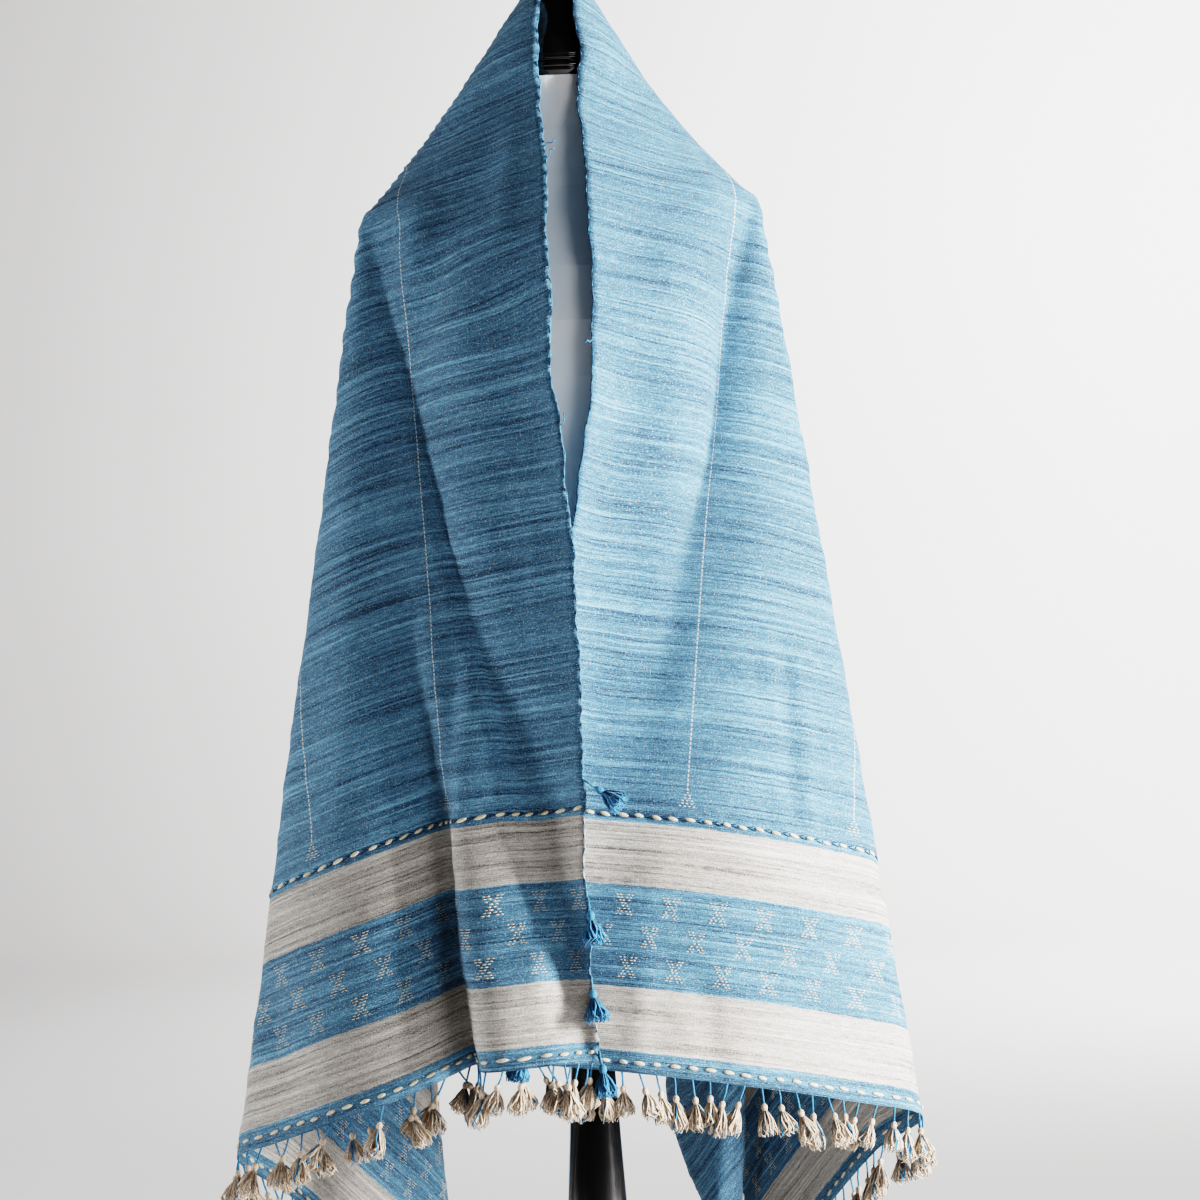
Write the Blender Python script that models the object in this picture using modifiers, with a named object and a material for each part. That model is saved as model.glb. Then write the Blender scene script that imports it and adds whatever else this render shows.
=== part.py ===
"""Handwoven blue shawl on a limbless dress form.

Units are metres. +Z is up, +X is the wearer's left (the right of the front view) and -Y is the front.
The origin is the centre of the round base, on the floor.
"""

import math

import bmesh
import bpy
import numpy as np

# The woven rectangle: "along" runs from centre back to a hem, "across" from the neck selvedge outwards.
WIDTH = 0.914
HALF_LENGTH = 1.055
WALL = 0.0018
PART_GAP = 0.0003
# Taken out of the flat cloth where two stretches meet: more by the shoulder point, where the bend closes
# it, and only the part gap further away.
SEAM_PARTING = 0.0040
SEAM_PARTING_REACH = 0.50

# How the cloth turns over a shoulder.
TIP_ROUNDING = 0.012
TIP_AXIS = (-0.5, 0.0, -0.866)
FOLD_START = 0.35
NECK_REACH = 0.23
# The two sides meet over the back across this far each way, less by the neck edge, full this far down.
NECK_BLEND = 0.07
NECK_BLEND_DEPTH = 0.15
FORM_CLEARANCE = 0.0042
FORM_SOFTNESS = 0.0060
# The push fades out over this height above the torso's lower edge.
FORM_FADE = 0.05
LEAST_SCALE = 0.05

# Each row is a line of cloth that runs from the shoulder point to the edge of the rectangle.
# Columns: what shows there, angle in the flat cloth (0 = straight to the hem, 90 = straight to the outer
# selvedge), direction on the form as out, forward and up (any length), reach (length that is drawn in, or
# stretched on the bias), and how far from the shoulder point a fold is full (0 for the plain shape).
LEFT_LINES = [
    ("centre back, under the neck roll", -180.0, -0.179, -0.099, 0.040, 0.926, 0.0),
    ("centre back, nape", -160.0, -0.179, -0.072, 0.122, 0.952, 0.0),
    ("centre back, top edge", -142.1, -0.179, -0.027, 0.205, 0.959, 0.0),
    ("neck edge, side", -137.5, -0.150, 0.004, 0.199, 0.963, 0.0),
    ("neck edge, top", -132.0, -0.161, 0.029, 0.190, 1.062, 0.0),
    ("neck edge, cap", -122.0, -0.161, 0.043, 0.144, 1.065, 0.0),
    ("neck front", -110.0, -0.1610, 0.055, 0.102, 1.070, 0.0),
    ("front edge at the collar bone", -90.0, -0.161, 0.080, 0.043, 1.05, 0.0),
    ("front edge over the chest", -70.0, -0.159, 0.102, -0.022, 1.02, 0.0),
    ("front edge, bust", -53.0, -0.160, 0.120, -0.092, 1.00, 0.0),
    ("front edge below the bust", -40.0, -0.161, 0.128, -0.167, 0.975, 0.0),
    ("front edge goes under", -30.0, -0.173, 0.112, -0.262, 0.965, 0.0),
    ("front edge, hidden", -22.0, -0.199, 0.098, -0.392, 0.975, 0.0),
    ("front edge, stitch line", -16.0, -0.224, 0.092, -0.567, 0.977, 0.0),
    ("front edge at the hem", -11.9, -0.302, 0.116, -0.943, 0.983, 0.0),
    ("panel inner third", -4.0, -0.172, 0.132, -0.975, 0.985, 0.0),
    ("panel middle", 2.5, -0.058, 0.124, -0.991, 0.990, 0.0),
    ("panel outer third", 9.0, 0.052, 0.076, -0.995, 1.000, 0.0),
    ("side silhouette", 15.0, 0.140, -0.002, -0.990, 1.018, 0.0),
    ("side turn", 20.0, 0.092, -0.066, -0.993, 1.036, 0.0),
    ("back layer", 30.0, 0.010, -0.150, -0.988, 1.080, 0.14),
    ("inner fold", 40.5, -0.056, -0.204, -0.977, 1.090, 0.14),
    ("inner fold, turn", 44.5, -0.076, -0.182, -0.980, 1.090, 0.14),
    ("roll, right side", 48.5, -0.042, -0.136, -0.989, 1.080, 0.14),
    ("roll, front", 51.0, -0.066, -0.104, -0.992, 1.060, 0.14),
    ("roll, left side", 54.5, -0.098, -0.145, -0.985, 1.050, 0.14),
    ("behind the roll", 58.0, -0.125, -0.225, -0.966, 1.02, 0.14),
    ("round the inner fold", 62.0, -0.084, -0.288, -0.954, 1.01, 0.14),
    ("inner layer", 67.0, -0.010, -0.240, -0.971, 1.00, 0.14),
    ("inner layer, side", 73.0, 0.078, -0.165, -0.983, 0.99, 0.14),
    ("outer turn", 77.0, 0.122, -0.178, -0.976, 0.98, 0.14),
    ("outer layer, side", 81.0, 0.072, -0.245, -0.967, 0.97, 0.14),
    ("outer layer, first hollow", 85.5, -0.010, -0.300, -0.954, 0.97, 0.14),
    ("outer layer, first fold", 94.0, -0.078, -0.335, -0.939, 0.97, 0.14),
    ("outer layer, second hollow", 99.0, -0.135, -0.255, -0.957, 0.97, 0.14),
    ("outer layer, second fold", 103.5, -0.190, -0.290, -0.938, 0.96, 0.14),
    ("centre back, lower edge", 108.0, -0.245, -0.205, -0.948, 0.96, 0.0),
    ("centre back, waist", 120.0, -0.179, -0.135, -0.352, 0.93, 0.0),
    ("centre back, shoulder blades", 140.0, -0.179, -0.120, -0.152, 0.90, 0.0),
    ("centre back, upper", 160.0, -0.179, -0.112, -0.047, 0.90, 0.0),
]

RIGHT_LINES = [
    ("centre back, under the neck roll", -180.0, -0.186, -0.100, 0.039, 0.94, 0.0),
    ("centre back, nape", -160.0, -0.186, -0.076, 0.116, 0.966, 0.0),
    ("centre back, top edge", -139.8, -0.186, -0.027, 0.211, 0.960, 0.0),
    ("neck edge, side", -135.8, -0.157, 0.004, 0.205, 0.948, 0.0),
    ("neck edge, top", -131.0, -0.168, 0.029, 0.198, 1.036, 0.0),
    ("neck edge, cap", -122.0, -0.168, 0.043, 0.154, 1.035, 0.0),
    ("neck front", -110.0, -0.167, 0.055, 0.108, 1.022, 0.0),
    ("front edge at the collar bone", -90.0, -0.1725, 0.080, 0.049, 1.03, 0.0),
    ("front edge over the chest", -70.0, -0.175, 0.106, -0.016, 1.01, 0.0),
    ("front edge, bust", -54.0, -0.175, 0.128, -0.086, 0.99, 0.0),
    ("front edge below the bust", -42.0, -0.1745, 0.138, -0.176, 0.98, 0.0),
    ("front edge, waist", -32.0, -0.180, 0.138, -0.266, 0.975, 0.0),
    ("front edge, hip", -24.0, -0.187, 0.144, -0.386, 0.965, 0.0),
    ("front edge, stitch line", -17.5, -0.190, 0.150, -0.561, 0.96, 0.0),
    ("front edge at the hem", -12.9, -0.2426, 0.178, -0.956, 0.957, 0.0),
    ("front strip", -9.4, -0.190, 0.189, -0.965, 0.959, 0.0),
    ("front strip, fold", -6.0, -0.119, 0.174, -0.977, 0.960, 0.80),
    ("valley beside the strip", -2.3, -0.105, 0.092, -0.990, 0.957, 0.80),
    ("ridge", 3.4, -0.027, 0.143, -0.989, 0.980, 0.55),
    ("panel outer third", 8.6, 0.062, 0.118, -0.991, 1.000, 0.0),
    ("soft hollow by the side", 12.4, 0.120, 0.062, -0.991, 1.015, 0.80),
    ("side silhouette", 16.0, 0.162, 0.002, -0.987, 1.030, 0.0),
    ("side turn", 21.5, 0.116, -0.066, -0.991, 1.045, 0.0),
    ("back layer", 30.5, 0.036, -0.150, -0.988, 1.075, 0.14),
    ("back layer, contour", 38.5, -0.032, -0.205, -0.978, 1.080, 0.14),
    ("turn behind the contour", 41.5, -0.024, -0.238, -0.971, 1.080, 0.14),
    ("inner layer", 46.5, 0.056, -0.205, -0.977, 1.060, 0.14),
    ("inner layer, side", 51.0, 0.116, -0.160, -0.980, 1.040, 0.14),
    ("outer turn", 54.0, 0.146, -0.186, -0.972, 1.020, 0.14),
    ("outer layer, side", 60.0, 0.080, -0.262, -0.962, 1.00, 0.14),
    ("outer layer, first hollow", 66.0, 0.000, -0.285, -0.959, 0.98, 0.14),
    ("outer layer, first fold", 72.0, -0.045, -0.352, -0.935, 0.97, 0.14),
    ("outer layer, second hollow", 79.0, -0.095, -0.262, -0.960, 0.97, 0.14),
    ("outer layer, second fold", 85.0, -0.135, -0.335, -0.933, 0.97, 0.20),
    ("outer layer, third hollow", 94.5, -0.176, -0.240, -0.955, 0.97, 0.20),
    ("outer layer, third fold", 100.0, -0.215, -0.290, -0.933, 0.97, 0.14),
    ("centre back, lower edge", 107.0, -0.252, -0.208, -0.945, 0.96, 0.0),
    ("centre back, waist", 120.0, -0.186, -0.135, -0.352, 0.93, 0.0),
    ("centre back, shoulder blades", 140.0, -0.186, -0.120, -0.152, 0.91, 0.0),
    ("centre back, upper", 160.0, -0.186, -0.112, -0.047, 0.91, 0.0),
]

# Where each side turns over the form, how far along and across the cloth that point lies, and how far the
# cloth sags between the neck and the shoulder.
LEFT = {
    "out": 1.0,
    "shoulder": (0.176, 0.0, 1.290),
    "along": 0.225,
    "across": 0.175,
    "sag": 0.019,
    "lines": LEFT_LINES,
}
RIGHT = {
    "out": -1.0,
    "shoulder": (-0.183, 0.0, 1.284),
    "along": 0.225,
    "across": 0.190,
    "sag": 0.004,
    "lines": RIGHT_LINES,
}

SLOPE_STEP = 0.0005

# Rings of the cloth, as shares of the way from the shoulder point to the edge.
RINGS = [0.06, 0.13, 0.20, 0.28, 0.37, 0.47, 0.60, 0.76, 1.0]
LINE_STEP = 4.5
LINE_STEP_FRONT = 2.6
LINE_STEP_FOLDS = 2.1
CENTRE_BACK_STEPS = 20
CENTRE_BAND = 0.000001
# Lines closer together than this many degrees are not both cut into the mesh.
LINE_MERGE = 0.8

# Dress form. Columns: height, half width, half depth, centre of the section in Y.
TORSO_SECTIONS = [
    (0.720, 0.118, 0.066, 0.010),
    (0.726, 0.124, 0.072, 0.010),
    (0.780, 0.132, 0.076, 0.014),
    (0.850, 0.128, 0.076, 0.015),
    (0.930, 0.118, 0.074, 0.013),
    (0.985, 0.116, 0.078, 0.006),
    (1.050, 0.126, 0.086, 0.002),
    (1.120, 0.130, 0.0975, -0.001),
    (1.170, 0.133, 0.101, 0.000),
    (1.220, 0.140, 0.094, 0.006),
    (1.250, 0.151, 0.084, 0.010),
    (1.270, 0.160, 0.076, 0.012),
    (1.284, 0.1645, 0.070, 0.012),
    (1.297, 0.159, 0.065, 0.012),
    (1.314, 0.143, 0.060, 0.012),
    (1.333, 0.120, 0.057, 0.012),
    (1.352, 0.096, 0.054, 0.011),
    (1.370, 0.076, 0.052, 0.008),
    (1.384, 0.062, 0.050, 0.005),
    (1.3987, 0.056, 0.049, 0.003),
]
TORSO_SIDES = 36
TORSO_SQUARENESS = 2.3

CAP_BOTTOM = 1.399
# Columns: height above the cap's lower edge, radius.
CAP_PROFILE = [
    (0.000, 0.0505),
    (0.004, 0.0530),
    (0.010, 0.0530),
    (0.013, 0.0508),
    (0.016, 0.0515),
    (0.027, 0.0470),
    (0.041, 0.0398),
    (0.056, 0.0320),
    (0.071, 0.0250),
    (0.087, 0.0195),
    (0.104, 0.0180),
    (0.114, 0.0200),
    (0.122, 0.0230),
    (0.130, 0.0215),
    (0.136, 0.0150),
    (0.138, 0.0060),
]
CAP_CENTRE_Y = 0.003
CAP_STEPS = 24

# Columns: height, radius.
POST_PROFILE = [
    (0.0303, 0.038),
    (0.045, 0.038),
    (0.060, 0.030),
    (0.110, 0.023),
    (0.220, 0.026),
    (0.330, 0.0285),
    (0.430, 0.0235),
    (0.520, 0.0190),
    (0.600, 0.0170),
    (0.7197, 0.0170),
]
POST_STEPS = 24

BASE_RADIUS = 0.170
BASE_HEIGHT = 0.030
BASE_EDGE = 0.009
BASE_STEPS = 40

# Fringe: a strip along each hem with one tassel every pitch.
TASSELS_PER_END = 58
STRIP_DEPTH = 0.0035
STRIP_WALL = 0.0024
STRIP_END = 0.0004
# Columns: drop below the strip, half size of the four-sided section.
TASSEL_RINGS = [
    (0.010, 0.0012),
    (0.020, 0.0026),
    (0.044, 0.0036),
]

# Blue tassels knotted into a front selvedge. Columns: side, distance along the cloth.
EDGE_TASSELS = [
    ("right", 0.800),
    ("right", 0.905),
    ("right", 0.975),
    ("right", 1.044),
    ("left", 1.030),
]
EDGE_TASSEL_HALF = 0.0030
EDGE_TASSEL_INSET = 0.010
# Its thread leaves the selvedge this far above the knot, with this half size.
EDGE_THREAD_RISE = 0.006
EDGE_THREAD_HALF = 0.0006
# Columns: height from the knot's middle, share of the half size.
EDGE_TASSEL_RINGS = [
    (0.000, 1.0),
    (-0.012, 0.6),
    (-0.018, 0.9),
    (-0.034, 1.4),
]

# Columns: base colour, roughness, metallic.
MATERIALS = {
    "shawl_back": ((0.060, 0.110, 0.205), 0.85, 0.0),
    "shawl_right_front": ((0.065, 0.120, 0.220), 0.85, 0.0),
    "shawl_left_front": ((0.075, 0.135, 0.240), 0.85, 0.0),
    "fringe": ((0.560, 0.520, 0.430), 0.90, 0.0),
    "edge_tassel": ((0.030, 0.070, 0.190), 0.90, 0.0),
    "form_torso": ((0.780, 0.780, 0.760), 0.70, 0.0),
    "form_neck_cap": ((0.008, 0.008, 0.009), 0.16, 0.0),
    "form_post": ((0.008, 0.008, 0.009), 0.20, 0.0),
    "form_base": ((0.010, 0.010, 0.011), 0.24, 0.0),
}


def smooth_step(value):
    """Ease from 0 to 1 over the range 0 to 1."""
    value = np.clip(value, 0.0, 1.0)
    return value * value * (3.0 - 2.0 * value)


def spline_around(angles, values, at):
    """Read a closed smooth curve, given once round a full turn, at the angles `at`."""
    angles = np.asarray(angles)
    values = np.asarray(values)
    count = len(angles)
    at = (np.asarray(at) - angles[0]) % 360.0 + angles[0]
    start = np.searchsorted(angles, at, side="right") - 1
    start = np.clip(start, 0, count - 1)

    def knot(index):
        turn = np.floor_divide(index, count)
        return angles[index % count] + 360.0 * turn, values[index % count]

    before_at, before = knot(start - 1)
    first_at, first = knot(start)
    second_at, second = knot(start + 1)
    after_at, after = knot(start + 2)
    span = second_at - first_at
    share = ((at - first_at) / span)[:, None]
    slope_first = (second - before) / (second_at - before_at)[:, None] * span[:, None]
    slope_second = (after - first) / (after_at - first_at)[:, None] * span[:, None]
    square = share * share
    cube = square * share
    return (
        (2 * cube - 3 * square + 1) * first
        + (cube - 2 * square + share) * slope_first
        + (-2 * cube + 3 * square) * second
        + (cube - square) * slope_second
    )


def line_values(lines):
    """Unit direction and reach of each line, as an array with four columns."""
    found = []
    for _, _, out, forward, up, reach, _ in lines:
        length = math.sqrt(out * out + forward * forward + up * up)
        found.append((out / length, forward / length, up / length, reach))
    return np.array(found)


def fold_value(lines, angle, distance):
    """Direction and reach at each place: the plain shape near the shoulder, then each depth of folds."""
    value = None
    for full in sorted({line[6] for line in lines}):
        used = [line for line in lines if line[6] <= full]
        curve = spline_around([line[1] for line in used], line_values(used), angle)
        if value is None:
            value = curve
            continue
        start = full * FOLD_START
        share = smooth_step((distance - start) / (full - start))[:, None]
        value = value + (curve - value) * share
    return value


def drape_side(side, along, across):
    """Points of one side of the shawl, for arrays of places in the flat cloth."""
    away = along - side["along"]
    outward = across - side["across"]
    distance = np.hypot(away, outward)
    angle = np.degrees(np.arctan2(outward, away))
    value = fold_value(side["lines"], angle, distance)
    direction = value[:, :3] / np.linalg.norm(value[:, :3], axis=1)[:, None]
    length = distance * value[:, 3]
    offset = direction * length[:, None]
    into_form = np.array(TIP_AXIS)
    sunk = direction @ into_form
    rounded = np.sqrt(length * length + TIP_ROUNDING ** 2) - TIP_ROUNDING
    offset += (sunk * (rounded - length))[:, None] * into_form
    part_way = np.clip(distance / NECK_REACH, 0.0, 1.0)
    rise = np.clip(direction[:, 2], 0.0, 1.0)
    offset[:, 2] -= side["sag"] * rise * 4.0 * part_way * (1.0 - part_way)
    shoulder = side["shoulder"]
    return np.stack(
        (
            shoulder[0] + side["out"] * offset[:, 0],
            shoulder[1] - offset[:, 1],
            shoulder[2] + offset[:, 2],
        ),
        axis=1,
    )


def section_at(height):
    """Half width, half depth and centre of the dress form at a height, cap included."""
    cap_sections = [(CAP_BOTTOM + rise, radius, radius, CAP_CENTRE_Y) for rise, radius in CAP_PROFILE[1:10]]
    table = np.array(TORSO_SECTIONS + cap_sections)
    height = np.clip(height, table[0, 0], table[-1, 0])
    return [np.interp(height, table[:, 0], table[:, column]) for column in (1, 2, 3)]


def clear_of_form(points):
    """Push cloth that would lie inside the dress form out to just clear of it, with a soft edge."""
    points = points.copy()
    half_width, half_depth, centre = section_at(points[:, 2])
    beside = points[:, 0]
    behind = points[:, 1] - centre
    power = TORSO_SQUARENESS
    scale = (np.abs(beside / half_width) ** power + np.abs(behind / half_depth) ** power) ** (1.0 / power)
    scale = np.maximum(scale, LEAST_SCALE)
    radius = np.hypot(beside, behind)
    surface = radius / scale
    depth = radius - (surface + FORM_CLEARANCE)
    eased = FORM_SOFTNESS * np.log1p(np.exp(np.clip(depth / FORM_SOFTNESS, -40.0, 40.0)))
    wanted = surface + FORM_CLEARANCE + eased
    near_top = np.clip((points[:, 2] - TORSO_SECTIONS[0][0]) / FORM_FADE, 0.0, 1.0)
    grow = 1.0 + (wanted / np.maximum(radius, 0.001) - 1.0) * near_top
    points[:, 0] = beside * grow
    points[:, 1] = centre + behind * grow
    return points


def drape(along, across):
    """Points of the whole shawl: `along` is negative on the wearer's right."""
    along = np.asarray(along, float)
    across = np.asarray(across, float)
    left = drape_side(LEFT, along, across)
    right = drape_side(RIGHT, -along, across)
    reach = NECK_BLEND + (LEFT["along"] - NECK_BLEND) * smooth_step(across / NECK_BLEND_DEPTH)
    share = smooth_step(0.5 + 0.5 * along / reach)[:, None]
    return clear_of_form(right + (left - right) * share)


def edge_distance(side, angle):
    """Distance in the flat cloth from the shoulder point to the edge of its half."""
    east = math.cos(math.radians(angle))
    north = math.sin(math.radians(angle))
    room = []
    if east > 1e-6:
        room.append((HALF_LENGTH - side["along"]) / east)
    if east < -1e-6:
        room.append(side["along"] / -east)
    if north > 1e-6:
        room.append((WIDTH - side["across"]) / north)
    if north < -1e-6:
        room.append(side["across"] / -north)
    return min(room)


def corner_angle(side, along, across):
    """Angle in the flat cloth at which a place is seen from the shoulder point."""
    return math.degrees(math.atan2(across - side["across"], along - side["along"]))


def step_at(angle):
    """Widest step between the mesh's lines round an angle: fine in the folds, wide where it is plain."""
    if 16.0 < angle < 108.0:
        return LINE_STEP_FOLDS
    if -16.0 < angle < 16.0:
        return LINE_STEP_FRONT
    return LINE_STEP


def angles_between(side, first, last):
    """Line angles for the mesh: the fold lines and corners, and enough lines between them."""
    corners = [corner_angle(side, HALF_LENGTH, 0.0), corner_angle(side, HALF_LENGTH, WIDTH)]
    centre_stops = [WIDTH * step / CENTRE_BACK_STEPS for step in range(CENTRE_BACK_STEPS + 1)]
    centre = [corner_angle(side, 0.0, across) for across in centre_stops]
    fixed = [first, last] + [angle + turn for angle in corners + centre for turn in (0.0, 360.0)]
    fixed = sorted(angle for angle in fixed if first <= angle <= last)
    behind = corner_angle(side, 0.0, WIDTH)
    wanted = [line[1] for line in side["lines"] if first < line[1] < min(last, behind)]
    stops = list(fixed)
    for angle in wanted:
        if min(abs(angle - stop) for stop in stops) > LINE_MERGE:
            stops.append(angle)
    stops = sorted(set(stops))
    angles = [stops[0]]
    for low, high in zip(stops, stops[1:]):
        shared = low >= behind - 0.001 and high <= corner_angle(side, 0.0, 0.0) + 360.001
        parts = 1 if shared else max(1, math.ceil((high - low) / step_at(0.5 * (low + high))))
        angles += [low + (high - low) * part / parts for part in range(1, parts + 1)]
    return angles


def mesh_object(name, points, faces):
    """New object with a mesh of these points and faces, faces turned to one side."""
    mesh = bpy.data.meshes.new(name)
    mesh.from_pydata([tuple(float(c) for c in point) for point in points], [], faces)
    mesh.update()
    return bpy.data.objects.new(name, mesh)


def drape_normals(along, across):
    """Unit normals of the draped cloth, from its slopes along and across the weave."""
    ahead = drape(along + SLOPE_STEP, across) - drape(along - SLOPE_STEP, across)
    aside = drape(along, across + SLOPE_STEP) - drape(along, across - SLOPE_STEP)
    normal = np.cross(ahead, aside)
    return normal / np.linalg.norm(normal, axis=1)[:, None]


def walled_piece(name, along, across, faces):
    """Solid cloth: both faces of the wall and its rim, so that neighbouring stretches share their edges."""
    middle = drape(along, across)
    half = 0.5 * WALL * drape_normals(along, across)
    count = len(middle)
    points = np.concatenate((middle + half, middle - half))
    sides = {}
    for face in faces:
        for start, end in zip(face, face[1:] + face[:1]):
            sides[(start, end)] = sides.get((start, end), 0) + 1
    rim = [(end, start, start + count, end + count) for start, end in sides if (end, start) not in sides]
    under = [tuple(index + count for index in reversed(face)) for face in faces]
    piece = mesh_object(name, points, faces + under + rim)
    piece.data.shade_smooth()
    return piece


def fan(side, first, last, toward):
    """Grid of flat-cloth places from the shoulder point to the edge, between two line angles."""
    angles = angles_between(side, first, last)
    places = [(side["along"] + 0.5 * SEAM_PARTING * toward, side["across"])]
    for angle in angles:
        reach = edge_distance(side, angle)
        for ring in RINGS:
            along = side["along"] + ring * reach * math.cos(math.radians(angle))
            across = side["across"] + ring * reach * math.sin(math.radians(angle))
            closing = float(smooth_step(ring * reach / SEAM_PARTING_REACH))
            parting = SEAM_PARTING + (PART_GAP - SEAM_PARTING) * closing
            if toward > 0:
                along = max(along, side["along"] + 0.5 * parting)
            else:
                along = min(along, side["along"] - 0.5 * parting)
            places.append((along, across))
    rings = len(RINGS)
    faces = []
    for column in range(len(angles) - 1):
        near = 1 + column * rings
        far = near + rings
        faces.append((0, near, far))
        for ring in range(rings - 1):
            faces.append((near + ring, near + ring + 1, far + ring + 1, far + ring))
    return places, faces


def make_front(side, name):
    """Front stretch: from the weft line over the shoulder to the hem, with the folds behind it."""
    places, faces = fan(side, -90.0, 90.0, 1.0)
    if side["out"] < 0:
        faces = [tuple(reversed(face)) for face in faces]
    places = np.array(places)
    return walled_piece(name, side["out"] * places[:, 0], places[:, 1], faces)


def make_back():
    """Back stretch: both halves from the shoulder weft lines, joined down the centre back."""
    left_places, left_faces = fan(LEFT, 90.0, 270.0, -1.0)
    right_places, right_faces = fan(RIGHT, 90.0, 270.0, -1.0)
    places = list(left_places)
    shared = {}
    for index, (along, across) in enumerate(places):
        if abs(along) < CENTRE_BAND:
            shared[round(across, 5)] = index
    number = []
    for along, across in right_places:
        if abs(along) < CENTRE_BAND:
            number.append(shared[round(across, 5)])
        else:
            number.append(len(places))
            places.append((-along, across))
    faces = left_faces + [tuple(number[index] for index in reversed(face)) for face in right_faces]
    places = np.array(places)
    return walled_piece("shawl_back", places[:, 0], places[:, 1], faces)


def make_torso():
    """White torso: a loft through the sections, closed at both ends."""
    points = []
    faces = []
    for height, half_width, half_depth, centre in TORSO_SECTIONS:
        for index in range(TORSO_SIDES):
            angle = 2.0 * math.pi * index / TORSO_SIDES
            power = 2.0 / TORSO_SQUARENESS
            beside = math.copysign(abs(math.cos(angle)) ** power, math.cos(angle))
            behind = math.copysign(abs(math.sin(angle)) ** power, math.sin(angle))
            points.append((half_width * beside, centre + half_depth * behind, height))
    for ring in range(len(TORSO_SECTIONS) - 1):
        for index in range(TORSO_SIDES):
            after = (index + 1) % TORSO_SIDES
            low = ring * TORSO_SIDES
            high = low + TORSO_SIDES
            faces.append((low + index, low + after, high + after, high + index))
    faces.append(tuple(reversed(range(TORSO_SIDES))))
    top = (len(TORSO_SECTIONS) - 1) * TORSO_SIDES
    faces.append(tuple(range(top, top + TORSO_SIDES)))
    piece = mesh_object("form_torso", points, faces)
    piece.data.shade_smooth()
    return piece


def turned(name, profile, steps, place=(0.0, 0.0, 0.0)):
    """Turned piece: a profile of radius and height, closed on its axis, with a Screw modifier."""
    outline = [(0.0, profile[-1][0])]
    outline += [(radius, height) for height, radius in reversed(profile)]
    outline.append((0.0, profile[0][0]))
    points = [(radius, 0.0, height) for radius, height in outline]
    mesh = bpy.data.meshes.new(name)
    mesh.from_pydata(points, [(index, index + 1) for index in range(len(points) - 1)], [])
    piece = bpy.data.objects.new(name, mesh)
    piece.location = place
    screw = piece.modifiers.new("turn", "SCREW")
    screw.steps = steps
    screw.render_steps = steps
    screw.use_merge_vertices = True
    screw.merge_threshold = 0.00001
    screw.use_smooth_shade = True
    return piece


def make_base():
    """Round base with a rounded upper edge."""
    profile = [(0.0, BASE_RADIUS - 0.002), (0.002, BASE_RADIUS)]
    for index in range(5):
        angle = math.radians(90.0 * index / 4)
        rise = BASE_HEIGHT - BASE_EDGE + BASE_EDGE * math.sin(angle)
        profile.append((rise, BASE_RADIUS - BASE_EDGE + BASE_EDGE * math.cos(angle)))
    return turned("form_base", profile, BASE_STEPS)


def on_hem(side, angle):
    """Whether a line from the shoulder point ends on the hem."""
    along = edge_distance(side, angle) * math.cos(math.radians(angle))
    return abs(side["along"] + along - HALF_LENGTH) < CENTRE_BAND


def make_fringe(side, name):
    """Strip along one hem, parted from the cloth, with a four-sided tassel under every other stretch."""
    count = 2 * TASSELS_PER_END
    hem_angles = [angle for angle in angles_between(side, -90.0, 90.0) if on_hem(side, angle)]
    reach = HALF_LENGTH - side["along"]
    stops = np.array([side["across"] + reach * math.tan(math.radians(angle)) for angle in hem_angles])
    across = np.linspace(STRIP_END, WIDTH - STRIP_END, count + 1)
    edges = []
    for drop in (0.0, STRIP_DEPTH):
        along = np.full(len(stops), side["out"] * (HALF_LENGTH + PART_GAP + drop))
        middle = drape(along, stops)
        half = 0.5 * STRIP_WALL * drape_normals(along, stops)
        for shift in (half, -half):
            edge = middle + shift
            edges.append(np.stack([np.interp(across, stops, edge[:, axis]) for axis in range(3)], axis=1))
    top_out, top_in, low_out, low_in = edges
    model = bmesh.new()
    rows = []
    for index in range(count + 1):
        corners = (top_in[index], top_out[index], low_out[index], low_in[index])
        rows.append([model.verts.new(tuple(map(float, corner))) for corner in corners])
    lower = []
    for index in range(count):
        here = rows[index]
        there = rows[index + 1]
        for corner in range(4):
            following = (corner + 1) % 4
            face = model.faces.new((here[corner], here[following], there[following], there[corner]))
            if corner == 2:
                lower.append(face)
    model.faces.new(list(reversed(rows[0])))
    model.faces.new(rows[-1])
    for index in range(0, count, 2):
        hang_tassel(model, lower[index])
    bmesh.ops.recalc_face_normals(model, faces=model.faces)
    piece = bpy.data.objects.new(name, bpy.data.meshes.new(name))
    model.to_mesh(piece.data)
    model.free()
    return piece


def hang_tassel(model, root):
    """Draw one tassel straight down out of a face of the strip."""
    corners = list(root.verts)
    middle = root.calc_center_median().copy()
    lowest = min(vert.co.z for vert in corners)
    model.faces.remove(root)
    edge = max(
        (corners[(index + 1) % 4].co - corners[index].co for index in range(4)),
        key=lambda vector: vector.length,
    )
    heading = math.atan2(edge.y, edge.x)
    order = None
    ring = corners
    for drop, half in TASSEL_RINGS:
        square = []
        for quarter in range(4):
            angle = heading + math.pi * (0.25 + 0.5 * quarter)
            reach = half * math.sqrt(2.0)
            square.append(
                (middle.x + reach * math.cos(angle), middle.y + reach * math.sin(angle), lowest - drop)
            )
        if order is None:
            order = matching_order(corners, square)
        fresh = [model.verts.new(square[index]) for index in order]
        for index in range(4):
            after = (index + 1) % 4
            model.faces.new((ring[index], ring[after], fresh[after], fresh[index]))
        ring = fresh
    model.faces.new(ring)


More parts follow.
